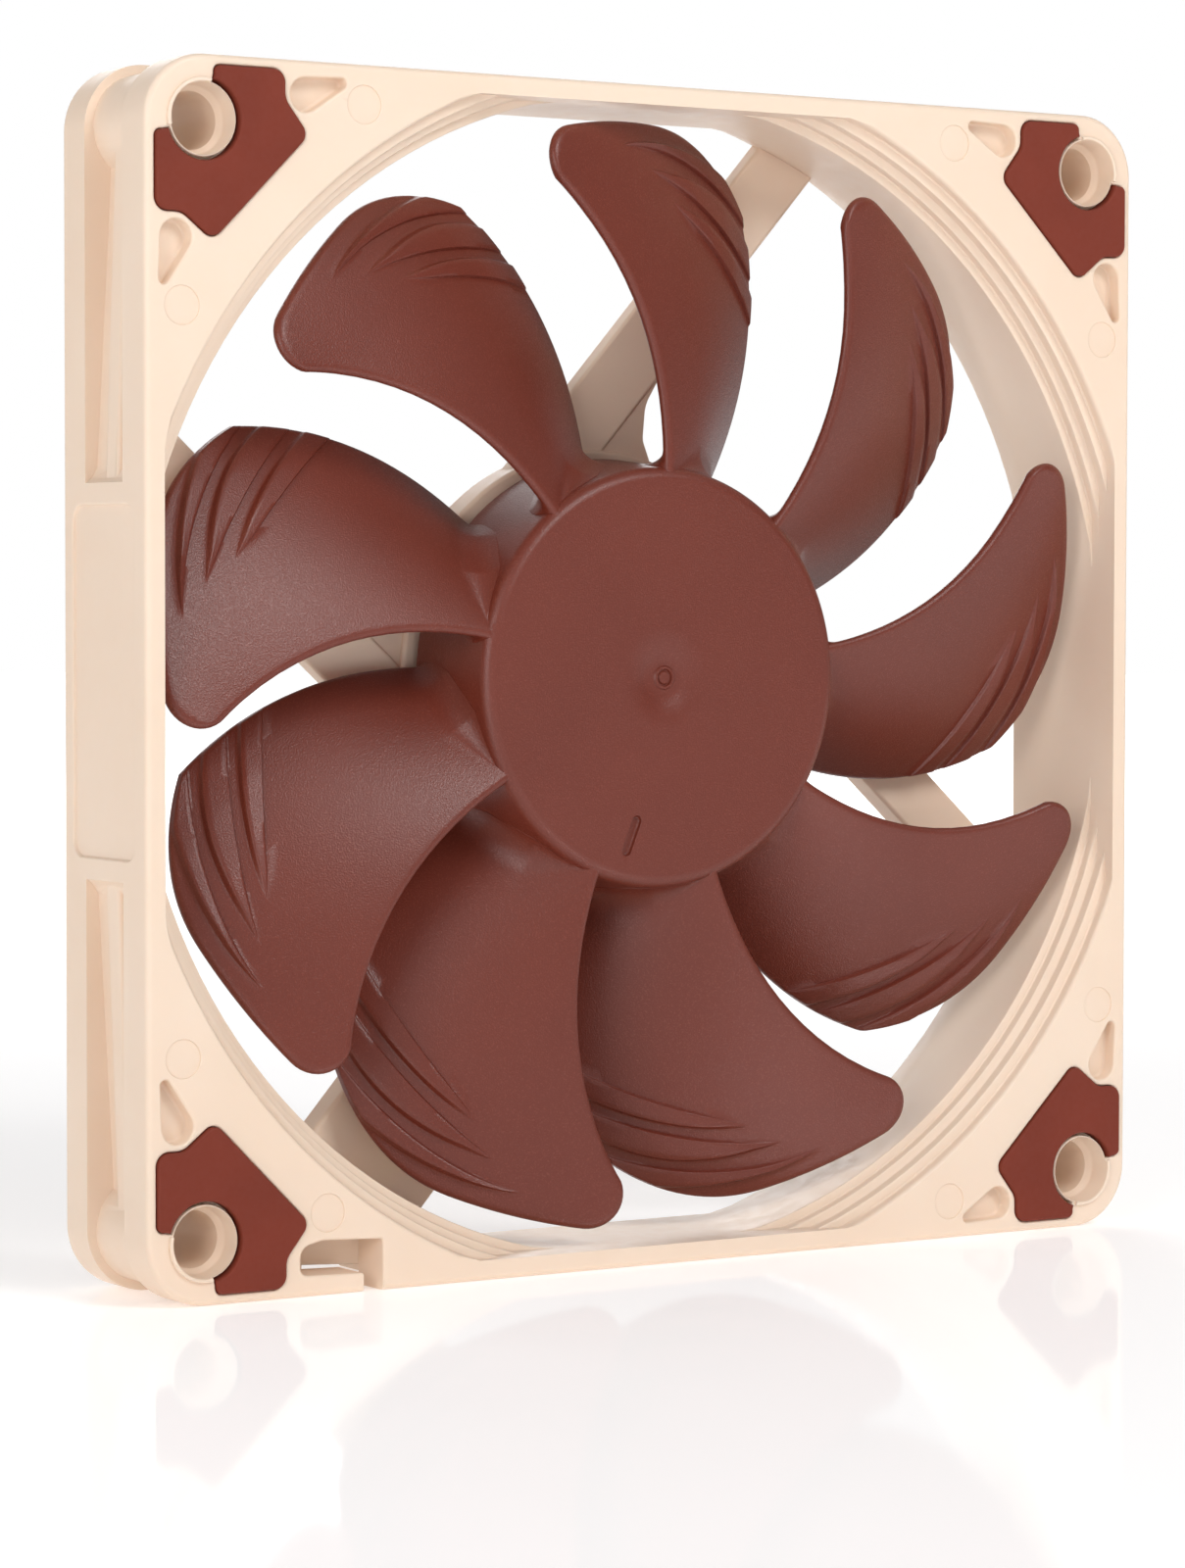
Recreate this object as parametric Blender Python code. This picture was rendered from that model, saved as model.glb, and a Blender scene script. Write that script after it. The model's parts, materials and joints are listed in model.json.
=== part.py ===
"""A slim 92 mm case fan: a square housing with a round duct, a nine-bladed impeller and its
brushless motor. Metres, +Z up. The fan stands on its lower edge, its axis is along Y and its
intake side faces -Y. Outlines are drawn on the fan's face as (x, z) from the axis, and depths
are counted from the intake side towards the rear."""

from math import acos, atan2, cos, pi, radians, sin, sqrt

import bmesh
import bpy
from mathutils import Vector

MM = 0.001
GAP = 0.3 * MM                    # between pieces that touch each other

# driving dimensions
SIDE = 92.0 * MM                  # the housing's width and height
DEPTH = 14.0 * MM                 # over the pads, front to rear
CORNER_RADIUS = 5.0 * MM
SCREW_OFFSET = 41.25 * MM         # 82.5 mm between the screw holes
SCREW_RADIUS = 2.18 * MM
BLADES = 9
STRUTS = 4

# housing
FACE = 0.3 * MM                   # the flanges stand back from the pads by this
COLLAR_RADIUS = 3.0 * MM
COUNTERBORE_RADIUS = 2.7 * MM
COUNTERBORE_DEPTH = 2.0 * MM
DUCT_FLAT = 44.45 * MM            # the duct's four flat stretches, from the axis
THROAT_RADIUS = 45.5 * MM
OUTLET_RADIUS = 46.3 * MM
INLET_STEPS = ((47.8, 1.3), (46.95, 2.3), (46.25, 3.2))     # radius, depth of its foot, in mm
FLANGE = 4.0 * MM
GROOVE_ENDS = (15.0 * MM, 37.5 * MM)
GROOVE_DEPTHS = (1.0 * MM, 2.2 * MM)
POCKET_DEPTH = 1.2 * MM

# struts and motor base
BASE_RADIUS = 18.0 * MM
BASE_FRONT = 11.0 * MM
STRUT_ANGLE = radians(48)
STRUT_SIDES = (-16.45 * MM, -11.3 * MM)         # the two long sides' distances from the axis
CABLE_STRUT_SIDES = (-16.45 * MM, -4.2 * MM)
STRUT_FRONT = (12.0 * MM, 11.2 * MM)
STRUT_REACH = 46.5 * MM
CHANNEL_WIDTH = 5.0 * MM          # the cord's way along the widest strut's back
CHANNEL_DEPTH = 1.6 * MM
CHANNEL_REACH = 58.0 * MM
SEAT_REAR = 12.8 * MM             # foot of the bearing tube's seat in the motor base
LABEL_RECESS = (16.5 * MM, 13.4 * MM)           # radius, depth

# pads
PAD_THICKNESS = 1.2 * MM
PAD_HALF = ((40.3, 44.5, 0), (40.3, 45.2, 0.4), (34.45, 45.2, 1.0), (34.45, 43.0, 1.6),
            (32.0, 40.5, 0.9))                  # x, z, corner radius in mm, up to the diagonal

# impeller
HUB_RADIUS = 16.5 * MM
HUB_REAR_RADIUS = 17.3 * MM
HUB_FRONT = 1.1 * MM
HUB_REAR = 10.4 * MM
HUB_INNER_RADIUS = 15.4 * MM
TIP_RADIUS = 43.5 * MM
ROOT_RADIUS = 16.1 * MM
BLADE_FRONT = 1.5 * MM
BLADE_REAR = 9.9 * MM
BLADE_THICKNESS = 1.2 * MM
BLADE_EDGE = 0.6 * MM

# motor; a SPAN is the depths a piece lies between
YOKE_RADIUS = 15.1 * MM
YOKE_WALL = 0.7 * MM
YOKE_FRONT = HUB_FRONT + HUB_RADIUS - HUB_INNER_RADIUS + GAP
YOKE_REAR = 9.8 * MM
MAGNET_OUTER = 14.1 * MM
MAGNET_INNER = 12.7 * MM
MAGNET_SPAN = (3.6 * MM, 9.5 * MM)
CORE_RADIUS = 12.2 * MM
CORE_BORE = 4.1 * MM
CORE_SPAN = (5.0 * MM, 8.6 * MM)
CORE_TOOTH = 3.0 * MM             # the tooth's width
INSULATOR_TOOTH = 3.4 * MM
INSULATOR_THICKNESS = 0.7 * MM
SHOE_ANGLE = radians(38)          # half of the tooth's shoe
SHOE_DEPTH = 1.3 * MM
COIL_REACH = (6.9 * MM, 9.3 * MM)               # inner and outer end, from the axis
COIL_HALF = 3.0 * MM
COIL_WINDOW_HALF = 2.0 * MM
COIL_SPAN = (3.6 * MM, 9.9 * MM)
COIL_WINDOW_SPAN = (3.9 * MM, 9.7 * MM)
TUBE_OUTER = 3.7 * MM
TUBE_INNER = 3.2 * MM
TUBE_SPAN = (5.3 * MM, 12.5 * MM)
SLEEVE_RADIUS = 2.9 * MM
SLEEVE_SPAN = (5.5 * MM, 11.0 * MM)
RUNNING_GAP = 0.08 * MM           # shaft in sleeve
SHAFT_RADIUS = 1.5 * MM
SHAFT_END = 12.2 * MM
SHAFT_NECK = (1.1 * MM, 11.35 * MM, 11.85 * MM)     # radius, front, rear
BUSH_RADIUS = 3.3 * MM
BUSH_REAR = 4.9 * MM
FIT_GAP = 0.1 * MM                # round pieces that sit on the shaft or the board
RING_RADIUS = 2.3 * MM
THRUST_DISC = (2.8 * MM, 12.35 * MM, 12.6 * MM)     # radius, front, rear
BOARD_RADIUS = 14.6 * MM
BOARD_SPAN = (10.1 * MM, 10.6 * MM)
LABEL_DISC = (16.1 * MM, 13.7 * MM, 13.9 * MM)      # radius, front, rear

PLASTIC = ("housing_plastic", (0.80, 0.62, 0.49), 0.45, 0.0)
ROTOR_PLASTIC = ("impeller_plastic", (0.19, 0.040, 0.024), 0.45, 0.0)
RUBBER = ("pad_rubber", (0.24, 0.045, 0.027), 0.7, 0.0)
STEEL = ("steel", (0.55, 0.55, 0.56), 0.35, 1.0)
BRASS = ("brass", (0.72, 0.52, 0.22), 0.3, 1.0)
BRONZE = ("sintered_bronze", (0.45, 0.30, 0.18), 0.6, 1.0)
FERRITE = ("magnet_ferrite", (0.05, 0.05, 0.055), 0.6, 0.0)
COPPER = ("enamelled_copper", (0.50, 0.18, 0.06), 0.35, 1.0)
NYLON = ("insulator_nylon", (0.80, 0.79, 0.74), 0.5, 0.0)
BOARD = ("board_green", (0.03, 0.15, 0.06), 0.4, 0.0)
BLACK = ("black_epoxy", (0.015, 0.015, 0.016), 0.5, 0.0)
PAPER = ("label_film", (0.75, 0.75, 0.73), 0.5, 0.0)


def place(x, depth, z):
    """A point on the fan: x and z from the axis, depth from the intake side."""
    return Vector((x, depth - DEPTH / 2, z + SIDE / 2))


def material(spec):
    name, colour, roughness, metallic = spec
    found = bpy.data.materials.get(name)
    if found:
        return found
    made = bpy.data.materials.new(name)
    made.use_nodes = True
    shader = made.node_tree.nodes["Principled BSDF"]
    shader.inputs["Base Color"].default_value = (*colour, 1.0)
    shader.inputs["Roughness"].default_value = roughness
    shader.inputs["Metallic"].default_value = metallic
    return made


def finish(name, bm, spec=None, parent=None):
    """The bmesh as an object, its faces pointing out; its origin goes on the parent's."""
    bmesh.ops.remove_doubles(bm, verts=bm.verts, dist=1e-7)
    bmesh.ops.recalc_face_normals(bm, faces=bm.faces)
    if parent:
        bmesh.ops.translate(bm, verts=bm.verts, vec=-parent.location)
    mesh = bpy.data.meshes.new(name)
    bm.to_mesh(mesh)
    bm.free()
    mesh.shade_smooth()
    mesh.set_sharp_from_angle(angle=radians(35))
    made = bpy.data.objects.new(name, mesh)
    bpy.context.scene.collection.objects.link(made)
    made.parent = parent
    if spec:
        mesh.materials.append(material(spec))
    return made


def tool(name, bm):
    """A solid that only cuts or joins another one."""
    made = finish(name, bm)
    made.hide_render = True
    made.display_type = "WIRE"
    return made


def boolean(target, operand, operation, solver="EXACT"):
    step = target.modifiers.new(operand.name, "BOOLEAN")
    step.operation = operation
    step.solver = solver
    step.object = operand


def prism(bm, outline, front, rear):
    """A straight prism between two depths; each depth is a number or a function of (x, z)."""
    def level(depth, x, z):
        return depth(x, z) if callable(depth) else depth
    near = [bm.verts.new(place(x, level(front, x, z), z)) for x, z in outline]
    far = [bm.verts.new(place(x, level(rear, x, z), z)) for x, z in outline]
    bm.faces.new(near)
    bm.faces.new(far)
    for k in range(len(outline)):
        n = (k + 1) % len(outline)
        bm.faces.new((near[k], near[n], far[n], far[k]))


def turned(profile, steps=48, centre=(0.0, 0.0), bm=None):
    """A profile of (radius, depth) spun round an axis; ends on the axis close by themselves."""
    made = bmesh.new()
    cx, cz = centre
    ring = [made.verts.new(place(cx + r, depth, cz)) for r, depth in profile]
    edges = [made.edges.new(pair) for pair in zip(ring, ring[1:])]
    if profile[0][0] > 0:
        edges.append(made.edges.new((ring[-1], ring[0])))
    bmesh.ops.spin(made, geom=ring + edges, cent=place(cx, 0, cz), axis=(0, 1, 0),
                   angle=2 * pi, steps=steps, use_merge=True)
    bmesh.ops.remove_doubles(made, verts=made.verts, dist=1e-7)
    if bm is None:
        return made
    joined = bpy.data.meshes.new("joined")
    made.to_mesh(joined)
    made.free()
    bm.from_mesh(joined)
    bpy.data.meshes.remove(joined)
    return bm


def disc(radius, front, rear):
    return [(0.0, front), (radius, front), (radius, rear), (0.0, rear)]


def tube(inner, outer, front, rear):
    return [(inner, front), (outer, front), (outer, rear), (inner, rear)]


def rounded(points, arc_steps=3):
    """An outline in metres from corners (x, z, radius) in millimetres."""
    outline = []
    for k, (x, z, radius) in enumerate(points):
        corner = Vector((x, z)) * MM
        if radius == 0:
            outline.append(tuple(corner))
            continue
        back = (Vector(points[k - 1][:2]) * MM - corner).normalized()
        ahead = (Vector(points[(k + 1) % len(points)][:2]) * MM - corner).normalized()
        half = acos(max(-1.0, min(1.0, back.dot(ahead)))) / 2
        centre = corner + (back + ahead).normalized() * radius * MM / sin(half)
        start = corner + back * radius * MM / (sin(half) / cos(half)) - centre
        end = corner + ahead * radius * MM / (sin(half) / cos(half)) - centre
        first = atan2(start.y, start.x)
        turn = (atan2(end.y, end.x) - first + pi) % (2 * pi) - pi
        for step in range(arc_steps + 1):
            angle = first + turn * step / arc_steps
            outline.append((centre.x + radius * MM * cos(angle), centre.y + radius * MM * sin(angle)))
    return outline


def offset(outline, distance):
    """The outline (counter-clockwise) grown by a distance."""
    grown = []
    for k, (x, z) in enumerate(outline):
        here = Vector((x, z))
        before = (here - Vector(outline[k - 1])).normalized()
        after = (Vector(outline[(k + 1) % len(outline)]) - here).normalized()
        sides = [Vector((d.y, -d.x)) for d in (before, after)]
        mitre = (sides[0] + sides[1]).normalized()
        grown.append(tuple(here + mitre * distance / max(0.5, mitre.dot(sides[0]))))
    return grown


def mirrored(outline, sx, sz):
    """The outline in another quadrant, still counter-clockwise."""
    moved = [(x * sx, z * sz) for x, z in outline]
    return moved if sx * sz > 0 else moved[::-1]


QUADRANTS = ((1, 1), (-1, 1), (-1, -1), (1, -1))


def square_duct(radius, count=72):
    """A circle cut off by the duct's four flat stretches."""
    outline = []
    for k in range(count):
        angle = 2 * pi * (k + 0.5) / count
        reach = min(radius, DUCT_FLAT / abs(cos(angle)), DUCT_FLAT / abs(sin(angle)))
        outline.append((reach * cos(angle), reach * sin(angle)))
    return outline


def duct_cutter():
    """The air's way through the housing: three inlet steps, the throat and a flared outlet."""
    levels = [(INLET_STEPS[0][0] * MM, -1 * MM)]
    for k, (radius, foot) in enumerate(INLET_STEPS):
        levels.append((radius * MM, foot * MM))
        inner = INLET_STEPS[k + 1][0] * MM if k + 1 < len(INLET_STEPS) else THROAT_RADIUS
        levels.append((inner, (foot + 0.15) * MM))
    levels += [(THROAT_RADIUS, 10.5 * MM), (OUTLET_RADIUS, 13.9 * MM),
               (OUTLET_RADIUS, DEPTH + 1 * MM)]
    bm = bmesh.new()
    rings = [[bm.verts.new(place(x, depth, z)) for x, z in square_duct(radius)]
             for radius, depth in levels]
    count = len(rings[0])
    for near, far in zip(rings, rings[1:]):
        for k in range(count):
            n = (k + 1) % count
            bm.faces.new((near[k], near[n], far[n], far[k]))
    bm.faces.new(rings[0])
    bm.faces.new(rings[-1])
    return bm


def housing_block():
    half = SIDE / 2 / MM
    radius = CORNER_RADIUS / MM
    outline = rounded([(half, half, radius), (-half, half, radius), (-half, -half, radius),
                       (half, -half, radius)], arc_steps=6)
    bm = bmesh.new()
    prism(bm, outline, FACE, DEPTH - FACE)
    return bm


def side_grooves():
    """Eight wedges that leave the two flanges standing on each side of the housing."""
    bm = bmesh.new()
    near, far = GROOVE_ENDS
    shallow, deep = GROOVE_DEPTHS
    half = SIDE / 2
    wedge = [(half + 1 * MM, near), (half + 1 * MM, far), (half - deep, far), (half - shallow, near)]
    for quarter in range(4):
        for flip in (1, -1):
            turn = quarter * pi / 2
            outline = [(x * cos(turn) - z * flip * sin(turn), x * sin(turn) + z * flip * cos(turn))
                       for x, z in wedge]
            prism(bm, outline, FLANGE, DEPTH - FLANGE)
    return bm


def strut(sides, reach):
    """A straight bar from beside the axis, up and to the right, between two side lines."""
    along = Vector((cos(STRUT_ANGLE), sin(STRUT_ANGLE)))
    across = Vector((along.y, -along.x))
    corners = [across * sides[0], across * sides[1],
               across * sides[1] + along * reach, across * sides[0] + along * reach]
    return [tuple(corner) for corner in corners]


def strut_depth(turn, sides):
    """The strut's sloping front, as a depth for each (x, z)."""
    along = STRUT_ANGLE + turn
    across = Vector((sin(along), -cos(along)))

    def depth(x, z):
        share = (Vector((x, z)).dot(across) - sides[0]) / (sides[1] - sides[0])
        return STRUT_FRONT[0] + (STRUT_FRONT[1] - STRUT_FRONT[0]) * share
    return depth


def box_outline(inner, outer, half):
    """A rectangle across the +X axis, between two distances from the fan's axis."""
    return [(inner, -half), (outer, -half), (outer, half), (inner, half)]


def turn_outline(outline, turn):
    return [(x * cos(turn) - z * sin(turn), x * sin(turn) + z * cos(turn)) for x, z in outline]


def pad_outline():
    """The upper right pad: an L of rubber that wraps the screw hole's inner side."""
    half = list(PAD_HALF)
    other = [(z, x, radius) for x, z, radius in reversed(half)]
    outline = rounded(half + other)
    centre = Vector((SCREW_OFFSET, SCREW_OFFSET))
    radius = COLLAR_RADIUS + GAP + 0.12 * MM
    last = atan2(outline[-1][1] - centre.y, outline[-1][0] - centre.x)
    first = atan2(outline[0][1] - centre.y, outline[0][0] - centre.x)
    sweep = (first - last) % (2 * pi) - 2 * pi
    steps = 16
    arc = [(centre.x + radius * cos(last + sweep * k / steps),
            centre.y + radius * sin(last + sweep * k / steps)) for k in range(steps + 1)]
    return outline + arc


def teardrop_outline(swap):
    """A pocket beside the pad, round at the pad and narrow towards the middle of the side."""
    big, small = Vector((32.45, 43.55)), Vector((29.7, 44.3))
    big_radius, small_radius = 1.2, 0.45
    between = small - big
    lean = acos((big_radius - small_radius) / between.length)
    heading = atan2(between.y, between.x)
    outline = []
    for k in range(9):
        angle = heading + lean + (2 * pi - 2 * lean) * k / 8
        outline.append((big.x + big_radius * cos(angle), big.y + big_radius * sin(angle)))
    for k in range(5):
        angle = heading - lean + 2 * lean * k / 4
        outline.append((small.x + small_radius * cos(angle), small.y + small_radius * sin(angle)))
    if swap:
        outline = [(z, x) for x, z in reversed(outline)]
    return [(x * MM, z * MM) for x, z in outline]


def corner_cutter():
    """Pad recesses and teardrop pockets in the four corners, front and rear."""
    bm = bmesh.new()
    recess = offset(pad_outline(), GAP)
    for sx, sz in QUADRANTS:
        moved = mirrored(recess, sx, sz)
        prism(bm, moved, -1 * MM, PAD_THICKNESS + GAP)
        prism(bm, moved, DEPTH - PAD_THICKNESS - GAP, DEPTH + 1 * MM)
        for swap in (False, True):
            if (sx, sz, swap) == (-1, -1, False):
                continue                        # the cord's notch takes this pocket's place
            pocket = mirrored(teardrop_outline(swap), sx, sz)
            prism(bm, pocket, -1 * MM, FACE + POCKET_DEPTH)
    return bm


def screw_hole_cutter():
    bm = bmesh.new()
    step = COUNTERBORE_DEPTH
    profile = [(0.0, -1 * MM), (COUNTERBORE_RADIUS, -1 * MM), (COUNTERBORE_RADIUS, step - 0.5 * MM),
               (SCREW_RADIUS, step), (SCREW_RADIUS, DEPTH - step),
               (COUNTERBORE_RADIUS, DEPTH - step + 0.5 * MM), (COUNTERBORE_RADIUS, DEPTH + 1 * MM),
               (0.0, DEPTH + 1 * MM)]
    for sx, sz in QUADRANTS:
        turned(profile, 20, (sx * SCREW_OFFSET, sz * SCREW_OFFSET), bm)
    return bm


def collars():
    """Rings round the screw holes that stand up to the pads' level."""
    bm = bmesh.new()
    for sx, sz in QUADRANTS:
        turned(disc(COLLAR_RADIUS, 0.0, DEPTH), 20, (sx * SCREW_OFFSET, sz * SCREW_OFFSET), bm)
    return bm


def cable_notch():
    """The cord's window through the housing's lower left edge, open below through a slit."""
    bm = bmesh.new()
    window = rounded([(-33.1, -44.0, 0.5), (-23.0, -44.0, 0), (-23.0, -42.6, 0), (-31.5, -42.1, 1.2),
                      (-33.1, -43.0, 0)])
    prism(bm, window, -1 * MM, DEPTH + 1 * MM)
    slit = rounded([(-27.5, -47, 0), (-26.0, -47, 0), (-26.0, -43, 0), (-27.5, -43, 0)])
    prism(bm, slit, -2 * MM, DEPTH + 2 * MM)
    return bm


def housing():
    body = finish("frame", housing_block(), PLASTIC)

    def shape(operand, operation):
        boolean(body, operand, operation, solver="MANIFOLD")    # EXACT leaves open edges here

    shape(tool("collar_rings", collars()), "UNION")
    shape(tool("duct_space", duct_cutter()), "DIFFERENCE")
    shape(tool("side_groove_space", side_grooves()), "DIFFERENCE")
    shape(tool("motor_base", turned(disc(BASE_RADIUS, BASE_FRONT, DEPTH), 64)), "UNION")
    for k in range(STRUTS):
        sides = CABLE_STRUT_SIDES if k == 2 else STRUT_SIDES
        outline = turn_outline(strut(sides, STRUT_REACH), k * pi / 2)
        bm = bmesh.new()
        prism(bm, outline, strut_depth(k * pi / 2, sides), DEPTH - FACE)
        shape(tool(f"strut_{k + 1}", bm), "UNION")
    middle = sum(CABLE_STRUT_SIDES) / 2
    channel = strut((middle - CHANNEL_WIDTH / 2, middle + CHANNEL_WIDTH / 2), CHANNEL_REACH)
    bm = bmesh.new()
    prism(bm, turn_outline(channel, pi), DEPTH - FACE - CHANNEL_DEPTH, DEPTH + 1 * MM)
    shape(tool("cord_channel_space", bm), "DIFFERENCE")
    bearing_seat = disc(TUBE_OUTER + GAP, BASE_FRONT - 1 * MM, SEAT_REAR)
    shape(tool("bearing_seat_space", turned(bearing_seat, 32)), "DIFFERENCE")
    label_recess = disc(*LABEL_RECESS, DEPTH + 1 * MM)
    shape(tool("label_recess_space", turned(label_recess, 48)), "DIFFERENCE")
    shape(tool("screw_hole_space", screw_hole_cutter()), "DIFFERENCE")
    shape(tool("corner_space", corner_cutter()), "DIFFERENCE")
    shape(tool("cable_notch_space", cable_notch()), "DIFFERENCE")
    body.modifiers.new("facets", "TRIANGULATE")


def pads():
    corner_names = ("upper_right", "upper_left", "lower_left", "lower_right")
    outline = pad_outline()
    for name, (sx, sz) in zip(corner_names, QUADRANTS):
        for end, front in (("front", 0.0), ("rear", DEPTH - PAD_THICKNESS)):
            bm = bmesh.new()
            prism(bm, mirrored(outline, sx, sz), front, front + PAD_THICKNESS)
            finish(f"{end}_pad_{name}", bm, RUBBER)


def sweep_share(radius):
    return ((radius - HUB_RADIUS) / (41.5 * MM - HUB_RADIUS)) if radius > HUB_RADIUS else 0.0


def leading_angle(radius):
    return radians(88.9 + 17.7 * sweep_share(radius) ** 1.65)


def trailing_angle(radius):
    return radians(57.6 + 15.5 * sweep_share(radius) ** 1.65)


def tip_radius(chord):
    """The blade's outer edge: rounded at the horn (chord 0) and, widely, at the rear corner."""
    horn = 1.7 * MM * max(0.0, 1 - chord / 0.09) ** 2
    rear = 4.6 * MM * max(0.0, (chord - 0.62) / 0.38) ** 2.6
    return TIP_RADIUS - horn - rear


def blade_point(chord, span):
    """The blade's middle surface: chord runs from the leading edge to the trailing one."""
    radius = ROOT_RADIUS + (tip_radius(chord) - ROOT_RADIUS) * span
    angle = leading_angle(radius) + (trailing_angle(radius) - leading_angle(radius)) * chord
    depth = BLADE_FRONT + (BLADE_REAR - BLADE_FRONT) * (0.62 * chord + 0.38 * chord ** 2)
    return place(radius * cos(angle), depth, radius * sin(angle))


def blade(turn):
    """One swept blade, thick in the middle and thin at its edges."""
    chords = (0, 0.03, 0.08, 0.18, 0.32, 0.48, 0.62, 0.74, 0.84, 0.93, 1)
    spans = (0, 0.25, 0.5, 0.75, 0.92, 1)
    bm = bmesh.new()
    sheets = []
    axis = place(0, 0, 0)
    for side in (-1, 1):
        rows = []
        for chord in chords:
            row = []
            for span in spans:
                here = blade_point(chord, span)
                ahead = blade_point(chord + 0.01, span) - blade_point(chord - 0.01, span)
                out = blade_point(chord, span + 0.01) - blade_point(chord, span - 0.01)
                normal = ahead.cross(out).normalized()
                if normal.y < 0:
                    normal = -normal
                body = min(1.0, 5 * chord, 5 * (1 - chord), 6 * (1 - span))
                thick = BLADE_EDGE + (BLADE_THICKNESS - BLADE_EDGE) * body
                point = here + normal * side * thick / 2 - axis
                point = Vector((point.x * cos(turn) - point.z * sin(turn), point.y,
                                point.x * sin(turn) + point.z * cos(turn))) + axis
                row.append(bm.verts.new(point))
            rows.append(row)
        sheets.append(rows)
        for a in range(len(chords) - 1):
            for b in range(len(spans) - 1):
                bm.faces.new((rows[a][b], rows[a + 1][b], rows[a + 1][b + 1], rows[a][b + 1]))
    front, rear = sheets
    last = len(spans) - 1
    border = [(a, 0) for a in range(len(chords))]
    border += [(len(chords) - 1, b) for b in range(1, last + 1)]
    border += [(a, last) for a in range(len(chords) - 2, -1, -1)]
    border += [(0, b) for b in range(last - 1, 0, -1)]
    for (a, b), (c, d) in zip(border, border[1:] + border[:1]):
        bm.faces.new((front[a][b], front[c][d], rear[c][d], rear[a][b]))
    return bm


def impeller(rotor):
    """The hub, a deep cup, and nine blades in one moulding."""
    edge = 1.0 * MM
    wall = HUB_RADIUS - HUB_INNER_RADIUS
    profile = [(0.0, HUB_FRONT), (HUB_RADIUS - edge, HUB_FRONT)]
    profile += [(HUB_RADIUS - edge + edge * sin(a), HUB_FRONT + edge - edge * cos(a))
                for a in (pi / 8, pi / 4, 3 * pi / 8, pi / 2)]
    profile += [(HUB_REAR_RADIUS, HUB_REAR), (HUB_INNER_RADIUS, HUB_REAR),
                (HUB_INNER_RADIUS, HUB_FRONT + wall), (0.0, HUB_FRONT + wall)]
    moulding = finish("impeller", turned(profile, 60), ROTOR_PLASTIC, rotor)
    for k in range(BLADES):
        joined = tool(f"blade_{k + 1}", blade(-2 * pi * k / BLADES))
        boolean(moulding, joined, "UNION")


def rotor_parts(rotor):
    yoke_inner = YOKE_RADIUS - YOKE_WALL
    plate_rear = YOKE_FRONT + YOKE_WALL
    hole = SHAFT_RADIUS + GAP
    cup = [(hole, YOKE_FRONT), (YOKE_RADIUS, YOKE_FRONT), (YOKE_RADIUS, YOKE_REAR),
           (yoke_inner, YOKE_REAR), (yoke_inner, plate_rear), (hole, plate_rear)]
    finish("rotor_yoke", turned(cup, 64), STEEL, rotor)
    finish("ring_magnet", turned(tube(MAGNET_INNER, MAGNET_OUTER, *MAGNET_SPAN), 64), FERRITE, rotor)
    bush = tube(SHAFT_RADIUS + FIT_GAP, BUSH_RADIUS, plate_rear + GAP, BUSH_REAR)
    finish("shaft_bush", turned(bush, 32), BRASS, rotor)
    neck, near, far = SHAFT_NECK
    chamfer = 0.3 * MM
    spindle = [(0.0, YOKE_FRONT), (SHAFT_RADIUS, YOKE_FRONT), (SHAFT_RADIUS, near), (neck, near),
               (neck, far), (SHAFT_RADIUS, far), (SHAFT_RADIUS, SHAFT_END - chamfer),
               (SHAFT_RADIUS - chamfer, SHAFT_END), (0.0, SHAFT_END)]
    finish("shaft", turned(spindle, 32), STEEL, rotor)
    ring = tube(neck + FIT_GAP, RING_RADIUS, near + FIT_GAP, far - FIT_GAP)
    finish("retaining_ring", turned(ring, 24), NYLON, rotor)


def bearing_parts():
    finish("bearing_tube", turned(tube(TUBE_INNER, TUBE_OUTER, *TUBE_SPAN), 32), BRASS)
    sleeve = tube(SHAFT_RADIUS + RUNNING_GAP, SLEEVE_RADIUS, *SLEEVE_SPAN)
    finish("sleeve_bearing", turned(sleeve, 32), BRONZE)
    finish("thrust_disc", turned(disc(*THRUST_DISC), 24), NYLON)


def stator_outline(reach, tooth):
    """Four teeth with wide shoes round a collar."""
    half = tooth / 2
    collar = CORE_BORE + 2.2 * MM
    inner = reach - SHOE_DEPTH
    tooth_side = [(sqrt(collar ** 2 - half ** 2), -half), (inner, -half),
                  (inner * cos(SHOE_ANGLE), -inner * sin(SHOE_ANGLE))]
    arc = [(reach * cos(a), reach * sin(a)) for a in [SHOE_ANGLE * (k / 4 - 1) for k in range(9)]]
    other_side = [(x, -z) for x, z in reversed(tooth_side)]
    between = [(collar * cos(radians(a)), collar * sin(radians(a))) for a in (35, 45, 55)]
    outline = []
    for k in range(4):
        outline += turn_outline(tooth_side + arc + other_side + between, k * pi / 2)
    return outline


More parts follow.
